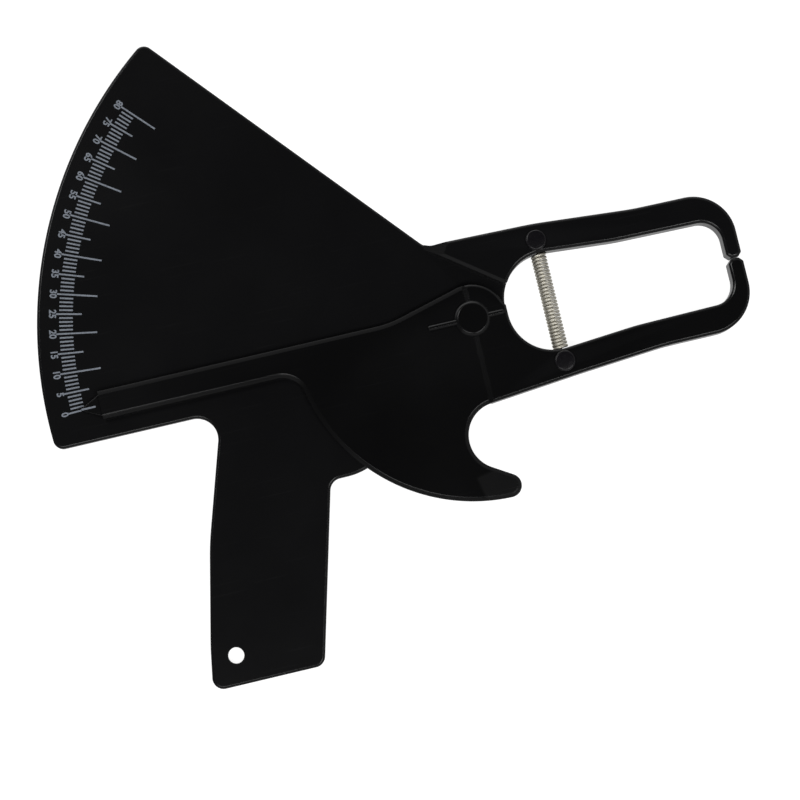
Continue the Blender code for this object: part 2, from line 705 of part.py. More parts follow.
retainer_top = COUNTERBORE_DEPTH - 2 * SEAT_GAP
spigot_end = retainer_top + SEAT_GAP
spigot = ((SPIGOT_RADIUS, spigot_end), (SPIGOT_RADIUS, seat_top + BOSS_RIM))
combine(lever, turned("lever_spigot", spigot, ROUND_SIDES), "UNION")
pilot_radius = SCREW_SHANK_RADIUS + BORE_GAP
pilot_end = BOSS_TOP - SCREW_END_WALL
pilot = ((pilot_radius, spigot_end - OVERRUN), (pilot_radius, pilot_end))
combine(lever, turned("lever_pilot_bore", pilot, SMALL_SIDES), "DIFFERENCE")

# Pivot hardware
ring("pivot_washer", washer_inner, washer_outer, washer_back, washer_back + WASHER_THICKNESS, ROUND_SIDES, washer_plastic)
retainer_back = retainer_top - RETAINER_THICKNESS
ring("retaining_washer", pilot_radius, RETAINER_RADIUS, retainer_back, retainer_top, ROUND_SIDES, washer_steel)
head_top = retainer_back - SEAT_GAP
screw_profile = (
    (SCREW_HEAD_RADIUS, head_top - SCREW_HEAD_DEPTH),
    (SCREW_HEAD_RADIUS, head_top),
    (SCREW_SHANK_RADIUS, head_top),
    (SCREW_SHANK_RADIUS, pilot_end - SCREW_END_GAP),
)
screw = turned("pivot_screw", screw_profile, SMALL_SIDES, material=screw_steel)
for cross_name, half_x, half_y in (
    ("screw_cross_x", CROSS_LENGTH / 2, CROSS_WIDTH / 2),
    ("screw_cross_y", CROSS_WIDTH / 2, CROSS_LENGTH / 2),
):
    low = (-half_x, -half_y, head_top - SCREW_HEAD_DEPTH - OVERRUN)
    high = (half_x, half_y, head_top - SCREW_HEAD_DEPTH + CROSS_DEPTH)
    combine(screw, box(cross_name, low, high), "DIFFERENCE")

# Spring pins, with a hole and a hook slot in each arm
for side, carrier, pin_name, pin_material in (
    (1, frame, "upper_spring_pin", pin_black),
    (-1, lever, "lower_spring_pin", lower_pin_black),
):
    place = (PIN_X, side * PIN_HALF)
    hole_radius = PIN_SHANK_RADIUS + BORE_GAP
    hole = ((hole_radius, PIN_FLOOR), (hole_radius, ARM_TOP + OVERRUN))
    combine(carrier, turned(pin_name + "_hole", hole, SMALL_SIDES, place), "DIFFERENCE")
    slot_end = side * (PIN_HALF + PIN_SHANK_RADIUS + BORE_GAP + SPRING_WIRE + SLOT_END_GAP)
    slot_start = side * (LOOP_BEND_HALF - OVERRUN)
    slot_low = (PIN_X - SLOT_WIDTH / 2, min(slot_start, slot_end), SPRING_LEVEL - SLOT_HEIGHT / 2)
    slot_high = (PIN_X + SLOT_WIDTH / 2, max(slot_start, slot_end), SPRING_LEVEL + SLOT_HEIGHT / 2)
    combine(carrier, box(pin_name + "_slot", slot_low, slot_high), "DIFFERENCE")
    head_back = ARM_TOP + SEAT_GAP
    head_front = head_back + PIN_HEAD_HEIGHT
    pin_profile = (
        (PIN_SHANK_RADIUS, PIN_FLOOR + SEAT_GAP),
        (PIN_SHANK_RADIUS, head_back),
        (PIN_HEAD_RADIUS, head_back),
        (PIN_HEAD_RADIUS, head_front - PIN_HEAD_RIM),
        (PIN_HEAD_RADIUS - PIN_HEAD_RIM, head_front),
    )
    turned(pin_name, pin_profile, SMALL_SIDES, place, pin_material)

# Tension spring: one tube along the whole wire
wire = bpy.data.curves.new("tension_spring", "CURVE")
wire.dimensions = "3D"
wire.bevel_depth = SPRING_WIRE / 2
wire.bevel_resolution = 1
wire.use_fill_caps = True
route = spring_points()
line = wire.splines.new("POLY")
line.points.add(len(route) - 1)
for knot, place in zip(line.points, route):
    knot.co = (*place, 1.0)
line.use_smooth = True
add_object("tension_spring", wire, spring_steel)

print(f"pivot axis at x {pivot.location.x:.6f}, y {pivot.location.y:.6f} m")
print(f"tension_spring: {SPRING_CURLS} curls, least gap to itself {least_gap(route) * 1000:.3f} mm")
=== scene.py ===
import json
import math

import bmesh
import bpy
import numpy as np
from mathutils import Matrix, Vector


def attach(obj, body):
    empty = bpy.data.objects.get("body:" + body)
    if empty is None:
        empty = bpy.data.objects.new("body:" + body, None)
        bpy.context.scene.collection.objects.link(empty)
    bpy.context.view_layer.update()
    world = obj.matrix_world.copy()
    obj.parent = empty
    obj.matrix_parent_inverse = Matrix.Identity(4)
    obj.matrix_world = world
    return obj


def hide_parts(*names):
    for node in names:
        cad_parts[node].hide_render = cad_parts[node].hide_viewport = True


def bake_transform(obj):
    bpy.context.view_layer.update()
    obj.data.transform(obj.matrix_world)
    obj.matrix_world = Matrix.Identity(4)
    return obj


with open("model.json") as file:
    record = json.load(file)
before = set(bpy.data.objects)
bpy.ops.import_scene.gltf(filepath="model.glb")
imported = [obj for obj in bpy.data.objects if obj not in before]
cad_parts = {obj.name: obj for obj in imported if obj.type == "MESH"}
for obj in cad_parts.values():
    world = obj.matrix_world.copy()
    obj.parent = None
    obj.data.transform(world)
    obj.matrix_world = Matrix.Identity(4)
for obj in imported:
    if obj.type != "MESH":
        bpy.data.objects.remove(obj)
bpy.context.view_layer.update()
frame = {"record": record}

# The pivot's place, from the first joint in the record
hinge = Vector(frame["record"]["behaviour"]["joints"][0]["pos_m"])

# The frame is one black ABS moulding: the fan under the scale, the pistol handle, the hub that the lever
# turns on and the thicker upper jaw arm. The tool left soft round rims all along it, and the pivot bore, the
# hanging hole and the hole and slot for the spring's pin and hook were moulded with it.
FAN_RADIUS = 0.1707
FAN_LOWER_DROP = 0.0131
FAN_EDGE_ANGLE = 130.78
FAN_EDGE_OFFSET = 0.01266
FAN_CORNER_ROUND = 0.0039
FAN_CORNER_SWEEP = 1.6
HANDLE_DROP = 0.1184
HANDLE_BACK_REACH = 0.1044
HANDLE_LEAN = 0.0272
HANDLE_FOOT_WIDTH = 0.04454
HANDLE_FRONT_REACH = 0.06843
HANDLE_ROOT_ROUND = 0.0083
HANDLE_FOOT_ROUND = 0.0044
HANDLE_FRONT_ROUND = 0.0049
HANDLE_SWEEP_ROUND = 0.12
HANDLE_BEND_SHARES = ((0.465, 0.573), (0.838, 0.893))
SHOULDER_DROP = 0.04885
SHOULDER_ROUND = 0.026
HANG_HOLE_RADIUS = 0.00315
HANG_HOLE_RISE = 0.01165
HANG_HOLE_INSET = 0.0119
HANG_HOLE_RIM = (0.0003, 0.0003, 1.2)
FRAME_PLATE = 0.0038
ARM_TOP = 0.0086
LOOP_LEFT = 0.01405
LOOP_ROOT_HALF = 0.02101
LOOP_ROOT_ROUND = 0.01785
LOOP_BEND_HALF = 0.0172
LOOP_BEND_ROUND = 0.08
LOOP_END_HALF = 0.0165
LOOP_END_ROUND = 0.0086
JAW_REACH = 0.10935
JAW_WALL = 0.00605
JAW_GAP = 0.0003
JAW_CHAMFER = 0.00165
JAW_CORNER_ROUND = 0.0008
JAW_PAD_SHARES = (0.28, 0.744)
ARM_END_HALF = 0.02755
ARM_END_ROUND = 0.017
ARM_BEND_ROUND = 0.1
ARM_KNEE_ROUND = 0.15
LOOP_BEND_X = 0.567 * JAW_REACH
ARM_BEND_X = 0.653 * JAW_REACH
UPPER_KNEE_X = 0.2908 * JAW_REACH
UPPER_ROOT_HALF = 0.0321
UPPER_KNEE_HALF = 0.0312
UPPER_BEND_HALF = 0.028
CREST_ROUND = 0.00715
CREST_PLATE_SHARE = 1.3
STEP_ANGLE = 53.5
STEP_OFFSET = 0.01795
STEP_WALL_REACH = 0.033
STEP_RAMP_START = 0.0205
STEP_RAMP_END = 0.0285
STEP_CORNER_ROUND = 0.0012
STEP_BEVEL_WIDTH = 0.0012
STEP_BEVEL_DROP = 0.00085
TONGUE_OVERLAP = 0.005
SKIN_INSET = 0.00002
FRAME_HUB_RADIUS = 0.0126
FRAME_HUB_STOP = 0.0008
FRAME_NOTCH_ROUND = 0.002
LEVER_TRAVEL = 46.0
TRAVEL_GAP = 0.00045
PLATE_RIM = (0.001, 0.0007, 1.4)
ARM_RIM = (0.0011, 0.0007, 1.25)
RIM_STEPS = 8
RIM_LAND = 0.00003
WALL_SHARE = 0.98
RIM_MASK_GAIN = 4
NARROW_SHARE = 0.4
NARROW_REACH = 0.006
COUNTERBORE_RADIUS = 0.007
COUNTERBORE_DEPTH = 0.0024
BORE_RADIUS = 0.0043
PIN_X = 0.0314
PIN_HALF = 0.02445
PIN_HOLE_RADIUS = 0.0019
PIN_FLOOR = 0.001
HOOK_LEVEL = 0.0043
HOOK_SLOT_WIDTH = 0.007
HOOK_SLOT_HEIGHT = 0.002
HOOK_SLOT_REACH = 0.0280
OVERRUN = 0.004
CHORD_ERROR = 0.000005
WELD = 0.0000005
ROUND_SIDES = 96
SHARP_ANGLE = 21.0


def at(radius, angle, centre=(0.0, 0.0)):
    """The point at an angle in degrees on a circle."""
    turn = math.radians(angle)
    return (centre[0] + radius * math.cos(turn), centre[1] + radius * math.sin(turn))


def angle_to(x, y):
    """The angle in degrees of the way to a point."""
    return math.degrees(math.atan2(y, x))


def arc(radius, start, end, centre=(0.0, 0.0)):
    """Plain corners along an arc, both ends included, whose chords keep to the chord error."""
    one = 2 * math.degrees(math.acos(1 - min(CHORD_ERROR / radius, 1)))
    count = max(1, math.ceil(abs(end - start) / one))
    return [at(radius, start + (end - start) * i / count, centre) + (0, None) for i in range(count + 1)]


def rounded(corners):
    """The outline through corners (x, y, round, ...), each with an arc in place of the corner.
    A point of an arc keeps the sharp corner, its radius and the way in, for insets deeper than the arc."""
    count = len(corners)
    places = [Vector(corner[:2]) for corner in corners]
    halves, reaches = [], []
    for i, corner in enumerate(corners):
        half = (places[i - 1] - places[i]).angle(places[(i + 1) % count] - places[i]) / 2
        halves.append(half)
        reaches.append(corner[2] / math.tan(half) if corner[2] else 0)
    fits = [1.0] * count
    for i in range(count):
        j = (i + 1) % count
        wall = (places[j] - places[i]).length * WALL_SHARE
        if reaches[i] + reaches[j] > wall:
            fit = wall / (reaches[i] + reaches[j])
            fits[i], fits[j] = min(fits[i], fit), min(fits[j], fit)
    points = []
    for i, here in enumerate(places):
        if reaches[i] == 0:
            points.append((here.x, here.y, 0, corners[i][3] if len(corners[i]) > 3 else None))
            continue
        half = halves[i]
        reach = reaches[i] * fits[i]
        radius = reach * math.tan(half)
        back = (places[i - 1] - here).normalized()
        ahead = (places[(i + 1) % count] - here).normalized()
        inward = (back + ahead).normalized() / math.sin(half)
        centre = here + inward * radius
        first = here + back * reach - centre
        last = here + ahead * reach - centre
        start = angle_to(*first)
        turn = angle_to(first.dot(last), first.x * last.y - first.y * last.x)
        sharp = (here.x, here.y, radius, inward.x, inward.y)
        points += [(x, y, 0, sharp) for x, y, _, _ in arc(radius, start, start + turn, centre)]
    return wound(points)


def wound(points):
    """The points counterclockwise, without repeats."""
    kept = []
    for p in points:
        if not kept or math.dist(p[:2], kept[-1][:2]) > RIM_LAND:
            kept.append(p)
    if math.dist(kept[0][:2], kept[-1][:2]) <= RIM_LAND:
        kept.pop()
    area = sum(a[0] * b[1] - b[0] * a[1] for a, b in zip(kept, kept[1:] + kept[:1]))
    return kept if area > 0 else kept[::-1]


def clipped(points, angle, offset, clear, corner_round=0.0):
    """The part of an outline no further than an offset along an angle, with its cut corners rounded."""
    nx, ny = at(1, angle)
    cuts, kept = [], []
    for a, b in zip(points, points[1:] + points[:1]):
        da = nx * a[0] + ny * a[1] - offset
        db = nx * b[0] + ny * b[1] - offset
        if da <= 0:
            kept.append(a)
        if (da <= 0) != (db <= 0):
            share = da / (da - db)
            cut = (a[0] + (b[0] - a[0]) * share, a[1] + (b[1] - a[1]) * share, corner_round, None)
            cuts.append(cut)
            kept.append(cut)
    return wound([p for p in kept if p in cuts or all(math.dist(p[:2], c[:2]) > clear for c in cuts)])


def inset(points, distance, narrow=None):
    """The outline moved inwards by a distance, or by less near a narrow place.
    An arc smaller than the distance closes to its sharp corner."""
    here = np.array([p[:2] for p in points])
    edge = np.roll(here, -1, axis=0) - here
    edge /= np.linalg.norm(edge, axis=1)[:, None]
    inward = np.stack([-edge[:, 1], edge[:, 0]], axis=1)
    before = np.roll(inward, 1, axis=0)
    mitre = (inward + before) / (1 + (inward * before).sum(axis=1))[:, None]
    reach = np.full(len(points), float(distance))
    if narrow:
        far = np.linalg.norm(here - np.array(narrow), axis=1)
        reach *= NARROW_SHARE + (1 - NARROW_SHARE) * np.clip(far / NARROW_REACH, 0, 1)
    moved = here + mitre * reach[:, None]
    for i, point in enumerate(points):
        if point[3] and point[3][2] < reach[i] + RIM_LAND and mitre[i] @ point[3][3:] > 0:
            moved[i] = np.array(point[3][:2]) + np.array(point[3][3:]) * reach[i]
    return moved


def add_object(name, mesh):
    """A new object at the origin of the scene."""
    piece = bpy.data.objects.new(name, mesh)
    bpy.context.scene.collection.objects.link(piece)
    return piece


def finished(name, work):
    """A new object with the shape of a working mesh, its faces turned outwards."""
    mesh = bpy.data.meshes.new(name)
    bmesh.ops.recalc_face_normals(work, faces=work.faces)
    work.to_mesh(mesh)
    work.free()
    return add_object(name, mesh)


def stack(name, rings):
    """A closed solid through rings of points, lowest first, each the same count and counterclockwise."""
    work = bmesh.new()
    rows = [[work.verts.new(p) for p in ring] for ring in rings]
    count = len(rows[0])
    for low, high in zip(rows, rows[1:]):
        for i in range(count):
            j = (i + 1) % count
            work.faces.new((low[i], low[j], high[j], high[i]))
    work.faces.new(rows[0][::-1])
    work.faces.new(rows[-1])
    bmesh.ops.remove_doubles(work, verts=work.verts, dist=WELD)
    return finished(name, work)


def rim_steps(rim):
    """Drops from the flat and insets from the wall of a soft rim (width, height, power), wall first.
    A power of 1 is a plain bevel and 2 a quarter round."""
    width, height, power = rim
    steps = [(height + RIM_LAND, 0)]
    for i in range(RIM_STEPS + 1):
        turn = math.pi / 2 * i / RIM_STEPS
        shares = (1 - math.sin(turn) ** (2 / power), 1 - max(math.cos(turn), 0) ** (2 / power))
        steps.append((height * shares[0], width * shares[1]))
    return steps + [(0, width + RIM_LAND)]


def slab(name, points, bottom, top, rim_low=None, rim_high=None, narrow=None):
    """An outline raised between two levels, with soft rims and a narrow land on each flat."""
    low, high = [(bottom, 0)], [(top, 0)]
    if rim_low:
        low = [(bottom + drop, distance) for drop, distance in rim_steps(rim_low)[::-1]]
    if rim_high:
        high = [(top - drop, distance) for drop, distance in rim_steps(rim_high)]
    return stack(name, [[(x, y, z) for x, y in inset(points, d, narrow)] for z, d in low + high])


def turned(name, profile, centre=(0.0, 0.0)):
    """A round solid from a profile of radius and level, lowest first, about an upright axis."""
    rings = []
    for radius, z in profile:
        places = [at(radius, 360 * i / ROUND_SIDES, centre) for i in range(ROUND_SIDES)]
        rings.append([(x, y, z) for x, y in places])
    return stack(name, rings)


def rod(name, radius, bottom, top, centre=(0.0, 0.0)):
    """A plain round bar about an upright axis."""
    return turned(name, ((radius, bottom), (radius, top)), centre)


def box(name, low, high):
    """A straight block between two corners."""
    corners = ((low[0], low[1]), (high[0], low[1]), (high[0], high[1]), (low[0], high[1]))
    return stack(name, [[(x, y, z) for x, y in corners] for z in (low[2], high[2])])


def wedge(name, angle, start, end, high, low, near, far):
    """A cutter over a ramp that falls along an angle between two levels, as wide as from near to far."""
    slope = (high - low) / (end - start)
    top = high + slope * OVERRUN
    profile = ((start - OVERRUN, top), (end + OVERRUN, low - slope * OVERRUN), (end + OVERRUN, top))
    ax, ay = at(1, angle)
    return stack(name, [[(s * ax - w * ay, s * ay + w * ax, z) for s, z in profile] for w in (near, far)])


def quarter(radius, level, rim, outward, upward):
    """Points of a soft rim between a wall at a radius and a flat at a level.
    Outward is 1 for a boss and -1 for a hole, and upward is 1 for a top and -1 for an underside."""
    return [(radius - outward * distance, level - upward * drop) for drop, distance in rim_steps(rim)[1:-1]]


def combine(piece, helper, operation="DIFFERENCE"):
    """Cuts a helper out of a piece, or joins it to the piece."""
    modifier = piece.modifiers.new(helper.name, "BOOLEAN")
    modifier.operation = operation
    modifier.object = helper
    modifier.solver = "EXACT"
    return helper


def baked(piece):
    """A plain mesh of a piece with its modifiers applied."""
    bpy.context.view_layer.update()
    graph = bpy.context.evaluated_depsgraph_get()
    return bpy.data.meshes.new_from_object(piece.evaluated_get(graph), depsgraph=graph)


def settle(piece, material, helpers=()):
    """Applies a piece's modifiers, moves its shape from the pivot to its place and gives it its finish.
    Its rims get a mask, rim, that the finish reads for wear."""
    mesh = baked(piece)
    piece.modifiers.clear()
    piece.data = mesh
    mesh.name = piece.name
    for helper in helpers:
        bpy.data.objects.remove(helper, do_unlink=True)
    mesh.transform(Matrix.Translation(hinge))
    mesh.materials.clear()
    mesh.materials.append(material)
    mesh.shade_smooth()
    mesh.set_sharp_from_angle(angle=math.radians(SHARP_ANGLE))
    upright = np.zeros(len(mesh.vertices) * 3, np.float32)
    mesh.vertices.foreach_get("normal", upright)
    upright = np.abs(upright.reshape(-1, 3)[:, 2])
    mask = np.clip(np.minimum(upright, 1 - upright) * RIM_MASK_GAIN, 0, 1)
    mesh.attributes.new("rim", "FLOAT", "POINT").data.foreach_set("value", mask.astype(np.float32))
    return piece


def feed(tree, node, inputs):
    """Sets inputs of a node to values, or links them to the sockets that feed them."""
    for key, value in inputs.items():
        if isinstance(value, bpy.types.NodeSocket):
            tree.links.new(value, node.inputs[key])
        else:
            node.inputs[key].default_value = value
    return node


def add_node(tree, kind, inputs=None, **settings):
    """A new node with its settings and inputs."""
    node = tree.nodes.new(kind)
    for key, value in settings.items():
        setattr(node, key, value)
    return feed(tree, node, inputs or {})


def new_group(name, kind, inputs, outputs):
    """A node group with named inputs (name, type, value) and outputs (name, type)."""
    tree = bpy.data.node_groups.new(name, kind)
    for label, socket, value in inputs:
        made = tree.interface.new_socket(label, in_out="INPUT", socket_type="NodeSocket" + socket)
        if value is not None:
            made.default_value = value
    for label, socket in outputs:
        tree.interface.new_socket(label, in_out="OUTPUT", socket_type="NodeSocket" + socket)
    return tree, tree.nodes.new("NodeGroupInput").outputs, tree.nodes.new("NodeGroupOutput").inputs


def new_material(name):
    """A material with its Principled shader, its tree and the place on the piece."""
    material = bpy.data.materials.new(name)
    material.use_nodes = True
    tree = material.node_tree
    place = add_node(tree, "ShaderNodeTexCoord").outputs["Object"]
    return material, tree, tree.nodes["Principled BSDF"], place


def maths(tree, operation, *values, **settings):
    """One step of a tree's sums, with its inputs in order."""
    inputs = dict(enumerate(values))
    return add_node(tree, "ShaderNodeMath", inputs, operation=operation, **settings).outputs[0]


def along_way(tree, place, way):
    """How far a place lies along a way."""
    return add_node(tree, "ShaderNodeVectorMath", {
        0: place, 1: tuple(way),
    }, operation="DOT_PRODUCT").outputs["Value"]


def noise(tree, place, scale, detail, roughness=0.5):
    """Plain noise over a place."""
    return add_node(tree, "ShaderNodeTexNoise", {
        "Vector": place, "Scale": scale, "Detail": detail, "Roughness": roughness,
    }).outputs["Fac"]


def ranged(tree, value, ends, levels=(0.0, 1.0)):
    """A value taken from between two ends to between two levels."""
    return add_node(tree, "ShaderNodeMapRange", {
        "Value": value, "From Min": ends[0], "From Max": ends[1], "To Min": levels[0], "To Max": levels[1],
    }).outputs["Result"]


def mixed(tree, share, first, second):
    """A colour between two, by a share. Inputs 6 and 7 of the mix node are its colours."""
    return add_node(tree, "ShaderNodeMix", {
        0: share, 6: (*first, 1), 7: (*second, 1),
    }, data_type="RGBA").outputs[2]


def bump(tree, height, strength, distance):
    """The normal of a surface that a height roughens."""
    return add_node(tree, "ShaderNodeBump", {
        "Strength": strength, "Distance": distance, "Height": height,
    }).outputs["Normal"]


def jaw_corners(side):
    """Corners of one arm from the root of the loop along the inside, round the jaw tip and to the outer end.
    The side is 1 for the upper arm and -1 for the lower."""
    inner = JAW_REACH - JAW_WALL
    pad_start = inner + JAW_PAD_SHARES[0] * JAW_WALL
    pad_end = inner + JAW_PAD_SHARES[1] * JAW_WALL
    face = JAW_GAP / 2
    return [
        (LOOP_LEFT, side * LOOP_ROOT_HALF, LOOP_ROOT_ROUND),
        (LOOP_BEND_X, side * LOOP_BEND_HALF, LOOP_BEND_ROUND),
        (inner, side * LOOP_END_HALF, LOOP_END_ROUND),
        (inner, side * (face + JAW_CHAMFER), JAW_CORNER_ROUND),
        (pad_start, side * face, JAW_CORNER_ROUND),
        (pad_end, side * face, JAW_CORNER_ROUND),
        (JAW_REACH, side * (face + JAW_CHAMFER), JAW_CORNER_ROUND),
        (JAW_REACH, side * ARM_END_HALF, ARM_END_ROUND),
    ]


def fan_point(along, across=0.0):
    """A point on the fan's upper edge by its distance along the edge, moved in by a distance across."""
    out = at(FAN_EDGE_OFFSET - across, FAN_EDGE_ANGLE - 90)
    up = at(along, FAN_EDGE_ANGLE)
    return (out[0] + up[0], out[1] + up[1])


def travel_edge(drop=None, radius=None):
    """The point of the frame's hidden lower edge at a drop below the pivot or at a radius from it.
    The edge stands the travel gap outside the place of the lever's rear wall at full travel."""
    angle = -90 - LEVER_TRAVEL
    side = at(TRAVEL_GAP, angle - 90)
    if radius:
        reach = math.sqrt(radius**2 - TRAVEL_GAP**2)
    else:
        reach = (drop + side[1]) / -math.sin(math.radians(angle))
    along = at(reach, angle)
    return (side[0] + along[0], side[1] + along[1])


edge_out = at(1, FAN_EDGE_ANGLE - 90)
crest_x = (FAN_EDGE_OFFSET - edge_out[1] * UPPER_ROOT_HALF) / edge_out[0]
heel_x = -HANDLE_BACK_REACH - HANDLE_LEAN
handle_height = HANDLE_DROP - FAN_LOWER_DROP
fan_low = -math.sqrt(FAN_RADIUS**2 - FAN_LOWER_DROP**2)
fan_top = fan_point(math.sqrt(FAN_RADIUS**2 - FAN_EDGE_OFFSET**2))
notch = travel_edge(radius=FRAME_HUB_RADIUS)
shoulder = travel_edge(drop=SHOULDER_DROP)
plate_corners = [
    (LOOP_LEFT - SKIN_INSET, FRAME_HUB_STOP, 0),
    (LOOP_LEFT - SKIN_INSET, LOOP_ROOT_HALF + SKIN_INSET, LOOP_ROOT_ROUND + SKIN_INSET),
    (LOOP_BEND_X, LOOP_BEND_HALF + SKIN_INSET, 0),
    (crest_x, UPPER_ROOT_HALF, CREST_ROUND * CREST_PLATE_SHARE),
    (fan_top[0], fan_top[1], FAN_CORNER_ROUND),
    *arc(FAN_RADIUS, angle_to(*fan_top) + FAN_CORNER_SWEEP, 180),
    *arc(FAN_RADIUS, 180, 180 + math.degrees(math.asin(FAN_LOWER_DROP / FAN_RADIUS)) - FAN_CORNER_SWEEP)[1:],
    (fan_low, -FAN_LOWER_DROP, FAN_CORNER_ROUND),
    (-HANDLE_BACK_REACH, -FAN_LOWER_DROP, HANDLE_ROOT_ROUND),
]
for drop, lean in HANDLE_BEND_SHARES:
    bend_x = -HANDLE_BACK_REACH - lean * HANDLE_LEAN
    plate_corners.append((bend_x, -FAN_LOWER_DROP - drop * handle_height, HANDLE_SWEEP_ROUND))
plate_corners += [
    (heel_x, -HANDLE_DROP, HANDLE_FOOT_ROUND),
    (heel_x + HANDLE_FOOT_WIDTH, -HANDLE_DROP, HANDLE_FOOT_ROUND),
    (-HANDLE_FRONT_REACH, -SHOULDER_DROP, HANDLE_FRONT_ROUND),
    (shoulder[0], shoulder[1], SHOULDER_ROUND),
    (notch[0], notch[1], FRAME_NOTCH_ROUND),
    *arc(FRAME_HUB_RADIUS, angle_to(*notch), math.degrees(math.asin(FRAME_HUB_STOP / FRAME_HUB_RADIUS)))[1:],
]
frame_plate_points = clipped(rounded(plate_corners), 0, LOOP_LEFT + TONGUE_OVERLAP, 2 * PLATE_RIM[0])

arm_corners = [
    (0, 0, 0),
    (LOOP_LEFT, 0, 0),
    *jaw_corners(1),
    (ARM_BEND_X, UPPER_BEND_HALF, ARM_BEND_ROUND),
    (UPPER_KNEE_X, UPPER_KNEE_HALF, ARM_KNEE_ROUND),
    (crest_x, UPPER_ROOT_HALF, CREST_ROUND),
    (*fan_point(STEP_WALL_REACH + UPPER_ROOT_HALF), 0),
]
arm_points = clipped(rounded(arm_corners), STEP_ANGLE + 180, -STEP_OFFSET, 2 * ARM_RIM[0], STEP_CORNER_ROUND)
arm_points = rounded(clipped(arm_points, FAN_EDGE_ANGLE, STEP_WALL_REACH, 2 * ARM_RIM[0], STEP_CORNER_ROUND))
step_end = fan_point(STEP_WALL_REACH, STEP_CORNER_ROUND)

# A used skin for moulded plastic: fine tool grain, cloudy gloss and hairlines from handling, which run three
# ways by a turn in radians and a stretch
GRAIN_SCALE = 2600.0
GRAIN_DETAIL = (3.0, 0.6)
GRAIN_BUMP = (0.12, 0.00004)
CLOUD_SCALE = 24.0
CLOUD_DETAIL = (3.0, 0.55)
HAIRLINE_WAYS = ((0.35, 46.0), (1.45, 38.0), (2.5, 52.0))
HAIRLINE_SCALE = 26.0
HAIRLINE_DETAIL = (1.0, 0.4)
HAIRLINE_CUT = (0.73, 0.77)
HAIRLINE_DEPTH = -0.5
HAIRLINE_WEAR = 0.12
HAIRLINE_DULLING = 0.03
CLOUD_ENDS = (0.3, 0.7)
CLOUD_GLOSS = 0.02
PLASTIC_SPECULAR = 0.3
# The frame's black is set lighter than the lever's, though both are the same ABS: the difference is painted
# light, for the brighter light on the fan.
FRAME_BLACK = (0.0043, 0.0043, 0.0047)
FRAME_BLACK_WORN = (0.007, 0.007, 0.0076)
FRAME_ROUGHNESS = 0.2
skin, skin_in, skin_out = new_group(
    "moulded_skin",
    "ShaderNodeTree",
    [
        ("Place", "Vector", None),
        ("Grain Scale", "Float", GRAIN_SCALE),
        ("Cloud Scale", "Float", CLOUD_SCALE),
        ("Hairline Scale", "Float", HAIRLINE_SCALE),
    ],
    [("Cloud", "Float"), ("Hairlines", "Float"), ("Height", "Float")],
)
grain = noise(skin, skin_in["Place"], skin_in["Grain Scale"], *GRAIN_DETAIL)
cloud = noise(skin, skin_in["Place"], skin_in["Cloud Scale"], *CLOUD_DETAIL)
lines = []
for turn, stretch in HAIRLINE_WAYS:
    across = add_node(skin, "ShaderNodeMapping", {
        "Vector": skin_in["Place"], "Rotation": (0, 0, turn), "Scale": (1.0, stretch, 1.0),
    }).outputs["Vector"]
    streak = noise(skin, across, skin_in["Hairline Scale"], *HAIRLINE_DETAIL)
    lines.append(ranged(skin, streak, HAIRLINE_CUT))
hairlines = maths(skin, "MAXIMUM", maths(skin, "MAXIMUM", lines[0], lines[1]), lines[2])
skin.links.new(cloud, skin_out["Cloud"])
skin.links.new(hairlines, skin_out["Hairlines"])
skin.links.new(maths(skin, "MULTIPLY_ADD", hairlines, HAIRLINE_DEPTH, grain), skin_out["Height"])


def moulded_plastic(name, colour, worn_colour, roughness, field=None):
    """Glossy black ABS with the moulded skin, hairlines and handled rims.
    A field (angle, start, softness, across, rise) is a duller grained part beyond two lines."""
    material, tree, shader, place = new_material(name)
    marks = add_node(tree, "ShaderNodeGroup", {"Place": place}, node_tree=skin)
    cloud, hairlines, height = (marks.outputs[label] for label in ("Cloud", "Hairlines", "Height"))
    rim = add_node(tree, "ShaderNodeAttribute", attribute_name="rim").outputs["Fac"]
    worn = maths(tree, "MULTIPLY", rim, cloud)
    lifted = maths(tree, "MULTIPLY_ADD", hairlines, HAIRLINE_WEAR, worn, use_clamp=True)
    gloss = ranged(tree, cloud, CLOUD_ENDS, (roughness - CLOUD_GLOSS, roughness + CLOUD_GLOSS))
    dulled = maths(tree, "MULTIPLY_ADD", hairlines, HAIRLINE_DULLING, gloss)
    if field:
        angle, start, softness, across, rise = field
        masks = []
        for turn, edge in ((angle, start), (angle - 90, across)):
            way = Vector((*at(1, turn), 0))
            edge += hinge.dot(way)
            ends = (edge - softness / 2, edge + softness / 2)
            masks.append(ranged(tree, along_way(tree, place, way), ends))
        dulled = maths(tree, "MULTIPLY_ADD", maths(tree, "MULTIPLY", *masks), rise, dulled)
    feed(tree, shader, {
        "Base Color": mixed(tree, lifted, colour, worn_colour), "Roughness": dulled,
        "Normal": bump(tree, height, *GRAIN_BUMP), "Specular IOR Level": PLASTIC_SPECULAR,
    })
    return material


frame_black = moulded_plastic("frame_black_abs", FRAME_BLACK, FRAME_BLACK_WORN, FRAME_ROUGHNESS)

